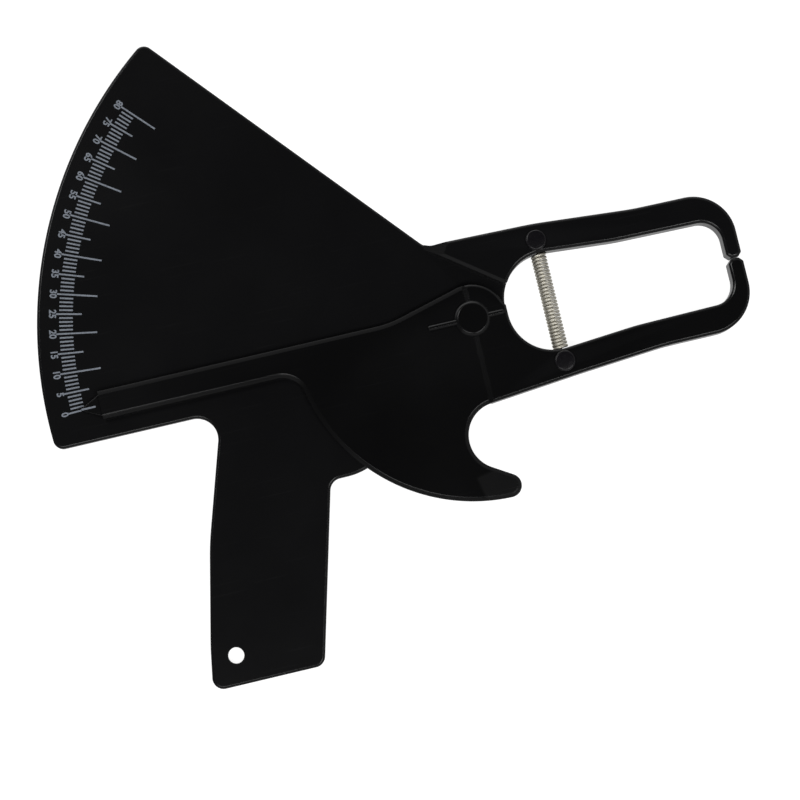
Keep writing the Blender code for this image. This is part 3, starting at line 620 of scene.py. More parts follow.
moulded_frame = slab("moulded_frame", frame_plate_points, 0, FRAME_PLATE, PLATE_RIM, PLATE_RIM)
hole_place = (heel_x + HANG_HOLE_INSET, -HANDLE_DROP + HANG_HOLE_RISE)
hole_profile = [
    (HANG_HOLE_RADIUS + HANG_HOLE_RIM[0], -OVERRUN),
    *quarter(HANG_HOLE_RADIUS, 0, HANG_HOLE_RIM, -1, -1)[::-1],
    *quarter(HANG_HOLE_RADIUS, FRAME_PLATE, HANG_HOLE_RIM, -1, 1),
    (HANG_HOLE_RADIUS + HANG_HOLE_RIM[0], FRAME_PLATE + OVERRUN),
]
counterbore_profile = [
    (COUNTERBORE_RADIUS + HANG_HOLE_RIM[0], -OVERRUN),
    *quarter(COUNTERBORE_RADIUS, 0, HANG_HOLE_RIM, -1, -1)[::-1],
    (COUNTERBORE_RADIUS, COUNTERBORE_DEPTH),
]
upper_arm = slab("upper_arm", arm_points, SKIN_INSET, ARM_TOP, ARM_RIM, ARM_RIM, step_end)
step_ramp = wedge(
    "step_ramp", STEP_ANGLE + 90, STEP_RAMP_START, STEP_RAMP_END, ARM_TOP, FRAME_PLATE,
    -STEP_OFFSET - 2 * UPPER_ROOT_HALF, -STEP_OFFSET + OVERRUN,
)
step_bevel = wedge(
    "step_bevel", STEP_ANGLE + 180, -STEP_OFFSET - STEP_BEVEL_WIDTH, -STEP_OFFSET,
    ARM_TOP, ARM_TOP - STEP_BEVEL_DROP, -2 * STEP_WALL_REACH, 2 * STEP_WALL_REACH,
)
combine(upper_arm, step_ramp)
combine(upper_arm, step_bevel)
helpers = [
    step_ramp,
    step_bevel,
    combine(moulded_frame, upper_arm, "UNION"),
    combine(moulded_frame, turned("frame_counterbore", counterbore_profile)),
    combine(moulded_frame, rod("frame_bore", BORE_RADIUS, -OVERRUN, FRAME_PLATE + OVERRUN)),
    combine(moulded_frame, turned("hang_hole", hole_profile, hole_place)),
]


def pin_seat(piece, side):
    """Cuts the hole of a spring pin and the slot of its hook, and returns the two cutters."""
    place = (PIN_X, side * PIN_HALF)
    hole = rod(piece.name + "_pin_hole", PIN_HOLE_RADIUS, PIN_FLOOR, ARM_TOP + OVERRUN, place)
    ends = sorted((side * (LOOP_BEND_HALF - OVERRUN), side * HOOK_SLOT_REACH))
    low = (PIN_X - HOOK_SLOT_WIDTH / 2, ends[0], HOOK_LEVEL - HOOK_SLOT_HEIGHT / 2)
    high = (PIN_X + HOOK_SLOT_WIDTH / 2, ends[1], HOOK_LEVEL + HOOK_SLOT_HEIGHT / 2)
    slot = box(piece.name + "_hook_slot", low, high)
    return [combine(piece, hole), combine(piece, slot)]


helpers += pin_seat(moulded_frame, 1)
settle(moulded_frame, frame_black, helpers)
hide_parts("frame")
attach(moulded_frame, "frame")

# The scale is one pass of bluish white ink on the fan: a tick for each millimetre of jaw opening, longer
# ones at each five and ten, and plain numbers along the rim that stand with their heads to the pivot.
TICK_COUNT = 81
TICK_STEP = 0.608
TICK_FIRST = -1.961
TICK_WIDTH = 0.00064
PRINT_CENTRE = (-0.01268, 0.00497)
ONE_INNER, ONE_OUTER = 0.14315, 0.14845
FIVE_INNER, TEN_INNER, LONG_OUTER = 0.13964, 0.13373, 0.1497
INK_HEIGHT = 0.00002
NUMBER_EVERY = 5
NUMBER_FOOT = 0.15235
NUMBER_HEIGHT = 0.00265
NUMBER_SQUEEZE = 0.92
NUMBER_SPREAD = 0.00012
NUMBER_CURVE_STEPS = 4
NUMBER_WELD = 0.000001
FIGURE_SHARE = 0.7
INK_NOISE = (1500.0, 4.0, 0.65)
INK_COVER_ENDS = (0.3, 0.55)
INK_THIN = (0.12, 0.137, 0.166)
INK_FULL = (0.215, 0.24, 0.279)
INK_GLOSS = (0.5, 0.65)
INK_BUMP = (0.25, 0.00002)

ink, ink_tree, ink_shader, ink_place = new_material("scale_ink")
ink_spread = noise(ink_tree, ink_place, *INK_NOISE)
feed(ink_tree, ink_shader, {
    "Base Color": mixed(ink_tree, ranged(ink_tree, ink_spread, INK_COVER_ENDS), INK_THIN, INK_FULL),
    "Roughness": ranged(ink_tree, ink_spread, (0.0, 1.0), INK_GLOSS),
    "Normal": bump(ink_tree, ink_spread, *INK_BUMP),
})

ticks, ticks_in, ticks_out = new_group(
    "scale_ticks",
    "GeometryNodeTree",
    [
        ("Geometry", "Geometry", None),
        ("Count", "Int", TICK_COUNT),
        ("First Angle", "Float", TICK_FIRST),
        ("Step Angle", "Float", TICK_STEP),
        ("One Inner", "Float", ONE_INNER),
        ("One Outer", "Float", ONE_OUTER),
        ("Five Inner", "Float", FIVE_INNER),
        ("Ten Inner", "Float", TEN_INNER),
        ("Long Outer", "Float", LONG_OUTER),
        ("Width", "Float", TICK_WIDTH),
        ("Ink Height", "Float", INK_HEIGHT),
        ("Print Centre", "Vector", (0.0, 0.0, 0.0)),
    ],
    [("Geometry", "Geometry")],
)


def tick_maths(operation, *values):
    """One step of the ticks' sums, with its inputs in order."""
    return maths(ticks, operation, *values)


number = add_node(ticks, "GeometryNodeInputIndex").outputs["Index"]
is_five, is_ten = (tick_maths("LESS_THAN", tick_maths("MODULO", number, every), 0.5) for every in (5.0, 10.0))
to_five = tick_maths("SUBTRACT", ticks_in["Five Inner"], ticks_in["One Inner"])
to_ten = tick_maths("SUBTRACT", ticks_in["Ten Inner"], ticks_in["Five Inner"])
to_long = tick_maths("SUBTRACT", ticks_in["Long Outer"], ticks_in["One Outer"])
inner_five = tick_maths("MULTIPLY_ADD", to_five, is_five, ticks_in["One Inner"])
inner_end = tick_maths("MULTIPLY_ADD", to_ten, is_ten, inner_five)
outer_end = tick_maths("MULTIPLY_ADD", to_long, is_five, ticks_in["One Outer"])
middle = tick_maths("MULTIPLY", tick_maths("ADD", inner_end, outer_end), 0.5)
length = tick_maths("SUBTRACT", outer_end, inner_end)
degrees = tick_maths("MULTIPLY_ADD", number, ticks_in["Step Angle"], ticks_in["First Angle"])
swing = tick_maths("RADIANS", degrees)
tick_x = tick_maths("MULTIPLY", tick_maths("COSINE", swing), tick_maths("MULTIPLY", middle, -1.0))
tick_y = tick_maths("MULTIPLY", tick_maths("SINE", swing), middle)
tick_offset = add_node(ticks, "ShaderNodeCombineXYZ", {0: tick_x, 1: tick_y}).outputs[0]
tick_place = add_node(ticks, "ShaderNodeVectorMath", {0: tick_offset, 1: ticks_in["Print Centre"]}).outputs[0]
tick_points = add_node(ticks, "GeometryNodePoints", {"Count": ticks_in["Count"], "Position": tick_place})
tick_instances = add_node(ticks, "GeometryNodeInstanceOnPoints", {
    "Points": tick_points.outputs[0],
    "Instance": add_node(ticks, "GeometryNodeMeshCube", {"Size": (1, 1, 1)}).outputs["Mesh"],
    "Rotation": add_node(ticks, "ShaderNodeCombineXYZ", {2: tick_maths("MULTIPLY", swing, -1.0)}).outputs[0],
    "Scale": add_node(ticks, "ShaderNodeCombineXYZ", {
        0: length, 1: ticks_in["Width"], 2: ticks_in["Ink Height"],
    }).outputs[0],
})
tick_meshes = add_node(ticks, "GeometryNodeRealizeInstances", {"Geometry": tick_instances.outputs[0]})
tick_inked = add_node(ticks, "GeometryNodeSetMaterial", {"Geometry": tick_meshes.outputs[0], "Material": ink})
ticks.links.new(tick_inked.outputs[0], ticks_out["Geometry"])


def grown(piece, tree, values):
    """The plain mesh that a geometry tree makes on a piece, with the tree's named inputs set."""
    modifier = piece.modifiers.new(tree.name, "NODES")
    modifier.node_group = tree
    for item in tree.interface.items_tree:
        if item.item_type == "SOCKET" and item.in_out == "INPUT" and item.name in values:
            modifier[item.identifier] = values[item.name]
    mesh = baked(piece)
    piece.modifiers.clear()
    return mesh


scale_ticks = add_object("scale_ticks", bpy.data.meshes.new("scale_ticks"))
print_centre = hinge + Vector((*PRINT_CENTRE, FRAME_PLATE + INK_HEIGHT / 2))
scale_ticks.data = grown(scale_ticks, ticks, {"Print Centre": tuple(print_centre)})

numbers = bmesh.new()
for value in range(0, TICK_COUNT, NUMBER_EVERY):
    word = bpy.data.curves.new("number", "FONT")
    word.body = str(value)
    word.size = NUMBER_HEIGHT / FIGURE_SHARE
    word.align_x = "CENTER"
    word.extrude = INK_HEIGHT / 2
    word.offset = NUMBER_SPREAD
    word.resolution_u = NUMBER_CURVE_STEPS
    written = add_object("number", word)
    mesh = baked(written)
    bpy.data.objects.remove(written, do_unlink=True)
    turn = math.radians(TICK_FIRST + TICK_STEP * value)
    foot = Vector((-math.cos(turn), math.sin(turn), 0)) * NUMBER_FOOT
    stand = Matrix.Rotation(-math.pi / 2 - turn, 4, "Z")
    shape = stand @ Matrix.Diagonal((NUMBER_SQUEEZE, 1, 1, 1))
    mesh.transform(Matrix.Translation(foot + print_centre) @ shape)
    numbers.from_mesh(mesh)
bmesh.ops.remove_doubles(numbers, verts=numbers.verts, dist=NUMBER_WELD)
scale_numbers = finished("scale_numbers", numbers)
scale_numbers.data.materials.append(ink)
for print_piece in (scale_ticks, scale_numbers):
    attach(print_piece, "frame")

# The lever is the second moulding, in the same black ABS: the pointer that sweeps the scale, the hub plate
# with its round boss and two ribs, the trigger, and the thicker lower jaw arm. A spigot under the boss turns
# in the frame's bore, and a ring seat round it holds the plastic washer.
LEVER_REAR = 0.0003
LEVER_PLATE_BACK = 0.0043
LEVER_PLATE_TOP = 0.0078
HUB_BACK = 0.0042
HUB_RADIUS = 0.0135
HUB_LEAVE_ANGLE = 18.0
HUB_LOOP_RISE = 0.0023
ARM_HUB_INNER = 0.0132
REAR_CORNER_ROUND = 0.0026
FRONT_BLOCK_BACK = 0.0012
FRONT_RAMP_REACH = 0.00085
LOWER_KNEE_X = 0.3365 * JAW_REACH
LOWER_KNEE_HALF = 0.0304
LOWER_BEND_HALF = 0.0276
POINTER_END = 0.1492
POINTER_HALF = 0.00545
POINTER_FLARE_ANGLE = 14.7
POINTER_FLARE_ROUND = 0.04
POINTER_TIP = 0.157
POINTER_TIP_HALF = 0.0043
POINTER_TIP_FLAT = 0.0005
POINTER_TIP_BACK = 0.00445
POINTER_TIP_THICKNESS = 0.0017
POINTER_TIP_RIM = (0.0002, 0.0002, 1.45)
TRIGGER_RADIUS = 0.0716
TRIGGER_ROOT_ROUND = 0.0097
TRIGGER_TIP_ROUND = 0.0046
TRIGGER_TIP_ANGLE = -90.7
FINGER_X = 0.0009
FINGER_DROP = 0.0471
FINGER_RADIUS = 0.0132
PLATE_OVERLAP = 0.002
PLATE_COVERED = 0.0009
PLATE_END_INSET = 0.0005
BLOCK_CORNER_ROUND = 0.0006
BLOCK_CORNER_SWEEP = 11.0
BOSS_RADIUS = 0.0071
BOSS_TOP = 0.0096
BOSS_RIM = (0.0014, 0.0012, 1.3)
RIB_WIDTH = 0.0021
RIB_TOP = 0.0093
RIB_RIM = (0.0008, 0.0007, 1.3)
RIB_END_ROUND = 0.000875
RIB_BACK_REACH = 0.018
RIB_FRONT_STOP = 0.0011
LEVER_RIM = (0.0016, 0.0008, 1.08)
LEVER_RIM_LOW = (0.0008, 0.0008, 1.45)
FIELD_ANGLE = 12.0
FIELD_START = -0.0253
FIELD_DROP = 0.0572
FIELD_SOFTNESS = 0.0012
FIELD_RISE = 0.09
WASHER_BACK = 0.0041
WASHER_THICKNESS = 0.0005
SEAT_RADIUS = 0.007
SEAT_TOP = 0.0049
SPIGOT_RADIUS = 0.004
SPIGOT_END = 0.0021
PILOT_RADIUS = 0.00175
PILOT_END = 0.0079
# The lever's black is darker than the frame's only as painted shade; both mouldings are the same ABS.
LEVER_BLACK = (0.003, 0.003, 0.0032)
LEVER_BLACK_WORN = (0.0056, 0.0056, 0.006)
LEVER_ROUGHNESS = 0.18

finger = (FINGER_X, -FINGER_DROP)
root_reach = TRIGGER_RADIUS + TRIGGER_ROOT_ROUND
root_drop = POINTER_HALF + TRIGGER_ROOT_ROUND
root = (-math.sqrt(root_reach**2 - root_drop**2), -root_drop)
root_angle = angle_to(-root[0], -root[1])
tip = at(TRIGGER_RADIUS - TRIGGER_TIP_ROUND, TRIGGER_TIP_ANGLE)
tip_turn = angle_to(finger[0] - tip[0], finger[1] - tip[1])
finger_skin = FINGER_RADIUS + SKIN_INSET
tip_turn -= math.degrees(math.acos((TRIGGER_TIP_ROUND + finger_skin) / math.dist(tip, finger)))
hub_skin = HUB_RADIUS - SKIN_INSET
flare_touch = 90 + POINTER_FLARE_ANGLE
flare_start = at(hub_skin, flare_touch)
flare_slope = math.tan(math.radians(POINTER_FLARE_ANGLE))
flare_x = flare_start[0] - (flare_start[1] - POINTER_HALF) / flare_slope
finger_end = math.degrees(math.acos((-PLATE_COVERED - FINGER_X) / finger_skin))
lever_plate_points = rounded([
    (-POINTER_END - OVERRUN, POINTER_HALF, 0),
    (-POINTER_END - OVERRUN, -POINTER_HALF, 0),
    *arc(TRIGGER_ROOT_ROUND, 90, root_angle, root),
    *arc(TRIGGER_RADIUS, 180 + root_angle, 360 + TRIGGER_TIP_ANGLE)[1:],
    *arc(TRIGGER_TIP_ROUND, TRIGGER_TIP_ANGLE, tip_turn, tip)[1:],
    *arc(finger_skin, 180 + tip_turn, finger_end, finger),
    (PLATE_OVERLAP, finger[1] + finger_skin + PLATE_END_INSET, 0),
    (PLATE_OVERLAP, hub_skin - PLATE_END_INSET, 0),
    *arc(hub_skin, math.degrees(math.acos(-PLATE_COVERED / hub_skin)), flare_touch),
    (flare_x, POINTER_HALF, POINTER_FLARE_ROUND),
])
block_angle = math.degrees(math.acos(-FRONT_BLOCK_BACK / HUB_RADIUS))
block_low = math.degrees(math.acos((-FRONT_BLOCK_BACK - FINGER_X) / FINGER_RADIUS))
lever_arm_points = rounded([
    (*at(HUB_RADIUS, block_angle), BLOCK_CORNER_ROUND),
    *arc(HUB_RADIUS, block_angle - BLOCK_CORNER_SWEEP, HUB_LEAVE_ANGLE),
    (LOOP_LEFT, HUB_LOOP_RISE, 0),
    *jaw_corners(-1),
    (ARM_BEND_X, -LOWER_BEND_HALF, ARM_BEND_ROUND),
    (LOWER_KNEE_X, -LOWER_KNEE_HALF, ARM_KNEE_ROUND),
    (*at(FINGER_RADIUS, block_low, finger), BLOCK_CORNER_ROUND),
])
relief_start = -90 + math.degrees(2 * REAR_CORNER_ROUND / ARM_HUB_INNER)
relief_points = rounded([
    (FAN_RADIUS, -LEVER_REAR, 0),
    (FAN_RADIUS, FAN_RADIUS, 0),
    (-FAN_RADIUS, FAN_RADIUS, 0),
    (-FAN_RADIUS, -FAN_RADIUS, 0),
    (0, -FAN_RADIUS, 0),
    (0, -ARM_HUB_INNER, REAR_CORNER_ROUND),
    (*at(ARM_HUB_INNER, relief_start), 0),
    *arc(ARM_HUB_INNER, relief_start, -math.degrees(math.asin(LEVER_REAR / ARM_HUB_INNER)))[1:],
])
lower_arm = slab("lower_arm", lever_arm_points, LEVER_REAR, ARM_TOP, LEVER_RIM_LOW, ARM_RIM)
relief = combine(lower_arm, slab("rear_relief", relief_points, LEVER_REAR - OVERRUN, HUB_BACK))
front_ramp = combine(lower_arm, wedge(
    "front_ramp", 180, -FRONT_RAMP_REACH, FRONT_BLOCK_BACK, ARM_TOP, LEVER_PLATE_TOP,
    -2 * HUB_RADIUS, FINGER_DROP + OVERRUN,
))
moulded_lever = slab(
    "moulded_lever", lever_plate_points, LEVER_PLATE_BACK, LEVER_PLATE_TOP, LEVER_RIM_LOW, LEVER_RIM,
)
pointer_cut = combine(moulded_lever, box(
    "pointer_cut",
    (-POINTER_END - 2 * OVERRUN, -2 * POINTER_HALF, LEVER_PLATE_BACK - OVERRUN),
    (-POINTER_END, 2 * POINTER_HALF, LEVER_PLATE_TOP + OVERRUN),
))
pointer_tip_points = rounded([
    (-POINTER_END + OVERRUN, POINTER_TIP_HALF, 0),
    (-POINTER_END, POINTER_TIP_HALF, 0),
    (-POINTER_TIP, POINTER_TIP_FLAT / 2, 0),
    (-POINTER_TIP, -POINTER_TIP_FLAT / 2, 0),
    (-POINTER_END, -POINTER_TIP_HALF, 0),
    (-POINTER_END + OVERRUN, -POINTER_TIP_HALF, 0),
])
pointer_tip_top = POINTER_TIP_BACK + POINTER_TIP_THICKNESS
pointer_tip = slab(
    "pointer_tip", pointer_tip_points, POINTER_TIP_BACK, pointer_tip_top, rim_high=POINTER_TIP_RIM,
)
rib_root = LEVER_PLATE_TOP - LEVER_RIM[1]
helpers = [
    pointer_cut,
    combine(moulded_lever, pointer_tip, "UNION"),
    combine(moulded_lever, lower_arm, "UNION"),
]
for rib_name, rib_start, rib_end in (
    ("rib_to_pointer", -RIB_BACK_REACH, 0), ("rib_to_jaws", 0, LOOP_LEFT - RIB_FRONT_STOP),
):
    rib_points = rounded([(x, y * RIB_WIDTH / 2, RIB_END_ROUND) for x, y in (
        (rib_start, -1), (rib_end, -1), (rib_end, 1), (rib_start, 1),
    )])
    rib = slab(rib_name, rib_points, rib_root, RIB_TOP, rim_high=RIB_RIM)
    helpers.append(combine(moulded_lever, rib, "UNION"))
boss_profile = [(BOSS_RADIUS, rib_root), *quarter(BOSS_RADIUS, BOSS_TOP, BOSS_RIM, 1, 1)]
boss_profile.append((BOSS_RADIUS - BOSS_RIM[0] - RIM_LAND, BOSS_TOP))
helpers += [
    combine(moulded_lever, turned("boss", boss_profile), "UNION"),
    combine(moulded_lever, rod("washer_seat", SEAT_RADIUS, SEAT_TOP - OVERRUN, SEAT_TOP)),
    combine(moulded_lever, rod("spigot", SPIGOT_RADIUS, SPIGOT_END, SEAT_TOP + RIB_RIM[1]), "UNION"),
    combine(moulded_lever, rod("pilot_bore", PILOT_RADIUS, SPIGOT_END - OVERRUN, PILOT_END)),
    *pin_seat(moulded_lever, -1),
]
lever_black = moulded_plastic(
    "lever_black_abs", LEVER_BLACK, LEVER_BLACK_WORN, LEVER_ROUGHNESS,
    (FIELD_ANGLE, FIELD_START, FIELD_SOFTNESS, FIELD_DROP, FIELD_RISE),
)
settle(moulded_lever, lever_black, helpers + [relief, front_ramp])
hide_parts("lever")
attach(moulded_lever, "lever")

# The index line is white paint wiped into the middle of the pointer's thin tip, a little bolder than
# the ticks it is read against.
INDEX_START, INDEX_END = 0.1512, 0.1568
INDEX_WIDTH = 0.0007
index_low = (-INDEX_END, -INDEX_WIDTH / 2, pointer_tip_top)
index_high = (-INDEX_START, INDEX_WIDTH / 2, pointer_tip_top + INK_HEIGHT)
index_line = settle(box("pointer_index_line", index_low, index_high), ink)
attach(index_line, "lever")

# The pivot washer is a stamped ring of white nylon between the two mouldings. It sets the running gap and
# lies in the lever's seat round the spigot.
WASHER_INNER = 0.0043
WASHER_OUTER = 0.0067
RING_RIM = 0.0001
RING_RIM_STEPS = 5
NYLON_SHADED = (0.66, 0.64, 0.58)
NYLON_WHITE = (0.8, 0.79, 0.75)
NYLON_ROUGHNESS = 0.45
NYLON_BUMP = (0.2, 0.00003)


def ring(name, inner, outer, bottom, top):
    """A flat ring about the pivot with rounded edges."""
    work = bmesh.new()
    profile = []
    for corner, (x, z) in enumerate((
        (inner + RING_RIM, bottom + RING_RIM), (outer - RING_RIM, bottom + RING_RIM),
        (outer - RING_RIM, top - RING_RIM), (inner + RING_RIM, top - RING_RIM),
    )):
        for i in range(RING_RIM_STEPS + 1):
            profile.append(at(RING_RIM, 180 + 90 * corner + 90 * i / RING_RIM_STEPS, (x, z)))
    rows = []
    for i in range(ROUND_SIDES):
        rows.append([work.verts.new(at(radius, 360 * i / ROUND_SIDES) + (z,)) for radius, z in profile])
    for a, b in zip(rows, rows[1:] + rows[:1]):
        for i in range(len(profile)):
            j = (i + 1) % len(profile)
            work.faces.new((a[i], b[i], b[j], a[j]))
    return finished(name, work)


nylon, nylon_tree, nylon_shader, nylon_place = new_material("white_nylon")
nylon_marks = add_node(nylon_tree, "ShaderNodeGroup", {"Place": nylon_place}, node_tree=skin).outputs
feed(nylon_tree, nylon_shader, {
    "Base Color": mixed(nylon_tree, nylon_marks["Cloud"], NYLON_SHADED, NYLON_WHITE),
    "Roughness": NYLON_ROUGHNESS,
    "Normal": bump(nylon_tree, nylon_marks["Height"], *NYLON_BUMP),
})

nylon_washer = ring("nylon_washer", WASHER_INNER, WASHER_OUTER, WASHER_BACK, WASHER_BACK + WASHER_THICKNESS)
settle(nylon_washer, nylon)
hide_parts("pivot_washer")
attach(nylon_washer, "lever")

# The retaining washer and the pan head screw are zinc plated steel. The washer is wider than the frame's
# bore, and the screw is driven from behind into the spigot, so the two hold the lever on the frame.
RETAINER_BACK = 0.0012
RETAINER_TOP = 0.0018
RETAINER_RADIUS = 0.006
SCREW_HEAD_RADIUS = 0.003
SCREW_HEAD_BACK = 0.00015
SCREW_HEAD_TOP = 0.0009
SCREW_HEAD_RIM = (0.0005, 0.0005, 2.0)
SCREW_SHANK_RADIUS = 0.00145
SCREW_END = 0.0076
CROSS_WIDTH = 0.0007
CROSS_LENGTH = 0.0034
CROSS_DEPTH = 0.0004
LATHE_RINGS = 9000.0
LATHE_DETAIL = 2.0
LATHE_BUMP = (0.25, 0.00001)
GRIME_NOISE = (420.0, 3.0)
GRIME_SHARE = 0.7
GRIME_GLOSS = (0.1, -0.05)
WASHER_STEEL, WASHER_ROUGHNESS = (0.58, 0.58, 0.57), 0.35
SCREW_STEEL, SCREW_ROUGHNESS = (0.55, 0.55, 0.56), 0.3


def turned_steel(name, colour, roughness):
    """Bright steel with fine lathe rings about the pivot and a little grime in random patches."""
    material, tree, shader, place = new_material(name)
    local = add_node(tree, "ShaderNodeMapping", {"Vector": place, "Location": tuple(-hinge)}).outputs[0]
    flat = add_node(tree, "ShaderNodeVectorMath", {0: local, 1: (1, 1, 0)}, operation="MULTIPLY").outputs[0]
    radius = add_node(tree, "ShaderNodeVectorMath", {0: flat}, operation="LENGTH").outputs["Value"]
    rings = add_node(tree, "ShaderNodeTexNoise", {
        "W": radius, "Scale": LATHE_RINGS, "Detail": LATHE_DETAIL,
    }, noise_dimensions="1D").outputs["Fac"]
    grime = noise(tree, place, *GRIME_NOISE)
    feed(tree, shader, {
        "Base Color": mixed(tree, grime, [value * GRIME_SHARE for value in colour], colour),
        "Roughness": ranged(tree, grime, CLOUD_ENDS, [roughness + change for change in GRIME_GLOSS]),
        "Normal": bump(tree, rings, *LATHE_BUMP),
        "Metallic": 1.0,
    })
    return material


plated_washer = turned_steel("zinc_plated_washer", WASHER_STEEL, WASHER_ROUGHNESS)
plated_screw = turned_steel("zinc_plated_screw", SCREW_STEEL, SCREW_ROUGHNESS)
steel_washer = ring("steel_washer", PILOT_RADIUS, RETAINER_RADIUS, RETAINER_BACK, RETAINER_TOP)
settle(steel_washer, plated_washer)
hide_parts("retaining_washer")
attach(steel_washer, "lever")

screw_profile = [
    (SCREW_HEAD_RADIUS - SCREW_HEAD_RIM[0] - RIM_LAND, SCREW_HEAD_BACK),
    *quarter(SCREW_HEAD_RADIUS, SCREW_HEAD_BACK, SCREW_HEAD_RIM, 1, -1)[::-1],
    (SCREW_HEAD_RADIUS, SCREW_HEAD_TOP),
    (SCREW_SHANK_RADIUS, SCREW_HEAD_TOP),
    (SCREW_SHANK_RADIUS, SCREW_END),
]
pan_screw = turned("pan_screw", screw_profile)
helpers = []
for cross_name, half_x, half_y in (
    ("cross_along", CROSS_LENGTH / 2, CROSS_WIDTH / 2), ("cross_over", CROSS_WIDTH / 2, CROSS_LENGTH / 2),
):
    low = (-half_x, -half_y, SCREW_HEAD_BACK - OVERRUN)
    high = (half_x, half_y, SCREW_HEAD_BACK + CROSS_DEPTH)
    helpers.append(combine(pan_screw, box(cross_name, low, high)))
settle(pan_screw, plated_screw, helpers)
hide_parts("pivot_screw")
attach(pan_screw, "lever")

# The two spring pins are turned steel with a black finish, pressed into the arms from the front. A low domed
# head shows on each arm, and the spring's hook closes round the shank in the arm's slot.
PIN_SHANK_RADIUS = 0.0016
PIN_SHANK_BACK = 0.0013
PIN_HEAD_BACK = 0.00862
PIN_HEAD_TOP = 0.0099
PIN_HEAD_RADIUS = 0.0041
PIN_HEAD_RIM = (0.0007, 0.0007, 1.6)
PIN_CROWN_RADIUS = 0.0012
PIN_NOISE = (700.0, 4.0, 0.6)
PIN_BLACK = (0.0048, 0.0043, 0.0056)
PIN_BLACK_WORN = (0.009, 0.008, 0.0095)
PIN_GLOSS = (0.22, 0.28)
PIN_BUMP = (0.2, 0.00003)
PIN_SPECULAR = 0.32

pin_black, pin_tree, pin_shader, pin_place = new_material("pin_black_finish")
pin_mottle = noise(pin_tree, pin_place, *PIN_NOISE)
pin_rim = add_node(pin_tree, "ShaderNodeAttribute", attribute_name="rim").outputs["Fac"]
pin_rub = maths(pin_tree, "MULTIPLY", pin_rim, pin_mottle)
feed(pin_tree, pin_shader, {
    "Base Color": mixed(pin_tree, pin_rub, PIN_BLACK, PIN_BLACK_WORN),
    "Roughness": ranged(pin_tree, pin_mottle, CLOUD_ENDS, PIN_GLOSS),
    "Normal": bump(pin_tree, pin_mottle, *PIN_BUMP),
    "Specular IOR Level": PIN_SPECULAR,
})

for side, node, body in ((1, "upper_spring_pin", "frame"), (-1, "lower_spring_pin", "lever")):
    pin_profile = [
        (PIN_SHANK_RADIUS, PIN_SHANK_BACK),
        (PIN_SHANK_RADIUS, PIN_HEAD_BACK),
        (PIN_HEAD_RADIUS, PIN_HEAD_BACK),
        *quarter(PIN_HEAD_RADIUS, PIN_HEAD_TOP - RIM_LAND, PIN_HEAD_RIM, 1, 1),
        (PIN_CROWN_RADIUS, PIN_HEAD_TOP),
    ]
    pin = turned(node.replace("spring", "hook"), pin_profile, (PIN_X, side * PIN_HALF))
    settle(pin, pin_black)
    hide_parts(node)
    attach(pin, body)

# The tension spring is close wound from bright spring wire. Its end hooks go through the arms' slots and
# round the pins, and it pulls the jaws shut. On the tool it stretches between the two pins as the lever
# turns; here it is one fixed mesh, wound for the closed jaws.
SPRING_RADIUS = 0.00313
SPRING_WIRE = 0.00126
SPRING_TURNS = 28
SPRING_TURN_POINTS = 28
SPRING_WALL_GAP = 0.00005
HOOK_TURN = 250.0
HOOK_POINTS = 36
WIRE_SIDES = 12
WIRE_NOISE = (900.0, 3.0, 0.6)
WIRE_DARK = (0.56, 0.535, 0.465)
WIRE_BRIGHT = (0.7, 0.675, 0.595)
WIRE_GLOSS = (0.46, 0.6)

wire_bright, wire_tree, wire_shader, wire_place = new_material("bright_spring_wire")
wire_mottle = noise(wire_tree, wire_place, *WIRE_NOISE)
feed(wire_tree, wire_shader, {
    "Base Color": mixed(wire_tree, wire_mottle, WIRE_DARK, WIRE_BRIGHT),
    "Roughness": ranged(wire_tree, wire_mottle, CLOUD_ENDS, WIRE_GLOSS),
    "Metallic": 1.0,
})

winding, winding_in, winding_out = new_group(
    "wound_wire",
    "GeometryNodeTree",
    [
        ("Geometry", "Geometry", None),
        ("Wire Radius", "Float", SPRING_WIRE / 2),
        ("Wire Sides", "Int", WIRE_SIDES),
    ],
    [("Geometry", "Geometry")],
)
wire_section = add_node(winding, "GeometryNodeCurvePrimitiveCircle", {
    "Resolution": winding_in["Wire Sides"], "Radius": winding_in["Wire Radius"],
})
wire_swept = add_node(winding, "GeometryNodeCurveToMesh", {
    "Curve": winding_in["Geometry"], "Profile Curve": wire_section.outputs["Curve"], "Fill Caps": True,
})
wire_smooth = add_node(winding, "GeometryNodeSetShadeSmooth", {"Geometry": wire_swept.outputs[0]})
wire_plain = add_node(winding, "GeometryNodeRealizeInstances", {"Geometry": wire_smooth.outputs[0]})
wire_done = add_node(winding, "GeometryNodeSetMaterial", {
    "Geometry": wire_plain.outputs[0], "Material": wire_bright,
})
winding.links.new(wire_done.outputs[0], winding_out["Geometry"])

loop_slope = (LOOP_ROOT_HALF - LOOP_BEND_HALF) / (LOOP_BEND_X - LOOP_LEFT)
loop_wall = LOOP_ROOT_HALF - (PIN_X - LOOP_LEFT) * loop_slope
coil_half = loop_wall - SPRING_WALL_GAP - SPRING_WIRE / 2
coil_mean = SPRING_RADIUS - SPRING_WIRE / 2
hook_radius = PIN_HOLE_RADIUS + SPRING_WIRE / 2
coil_points = SPRING_TURNS * SPRING_TURN_POINTS
end_points = SPRING_TURN_POINTS // 4
full_points = coil_points - 2 * end_points
coil = []
for i in range(coil_points + 1):
    share = min(max(i - end_points, 0), full_points) / full_points
    radius = coil_mean * math.sin(min(i, coil_points - i, end_points) / end_points * math.pi / 2)
    x, z = at(radius, 360 * i / SPRING_TURN_POINTS - 90, (PIN_X, HOOK_LEVEL))
    coil.append((x, coil_half * (1 - 2 * share), z))
hook_start = math.degrees(math.acos(hook_radius / (PIN_HALF - coil_half - SPRING_WIRE))) - 90
hook = [at(hook_radius, hook_start + HOOK_TURN * i / HOOK_POINTS) for i in range(HOOK_POINTS + 1)]
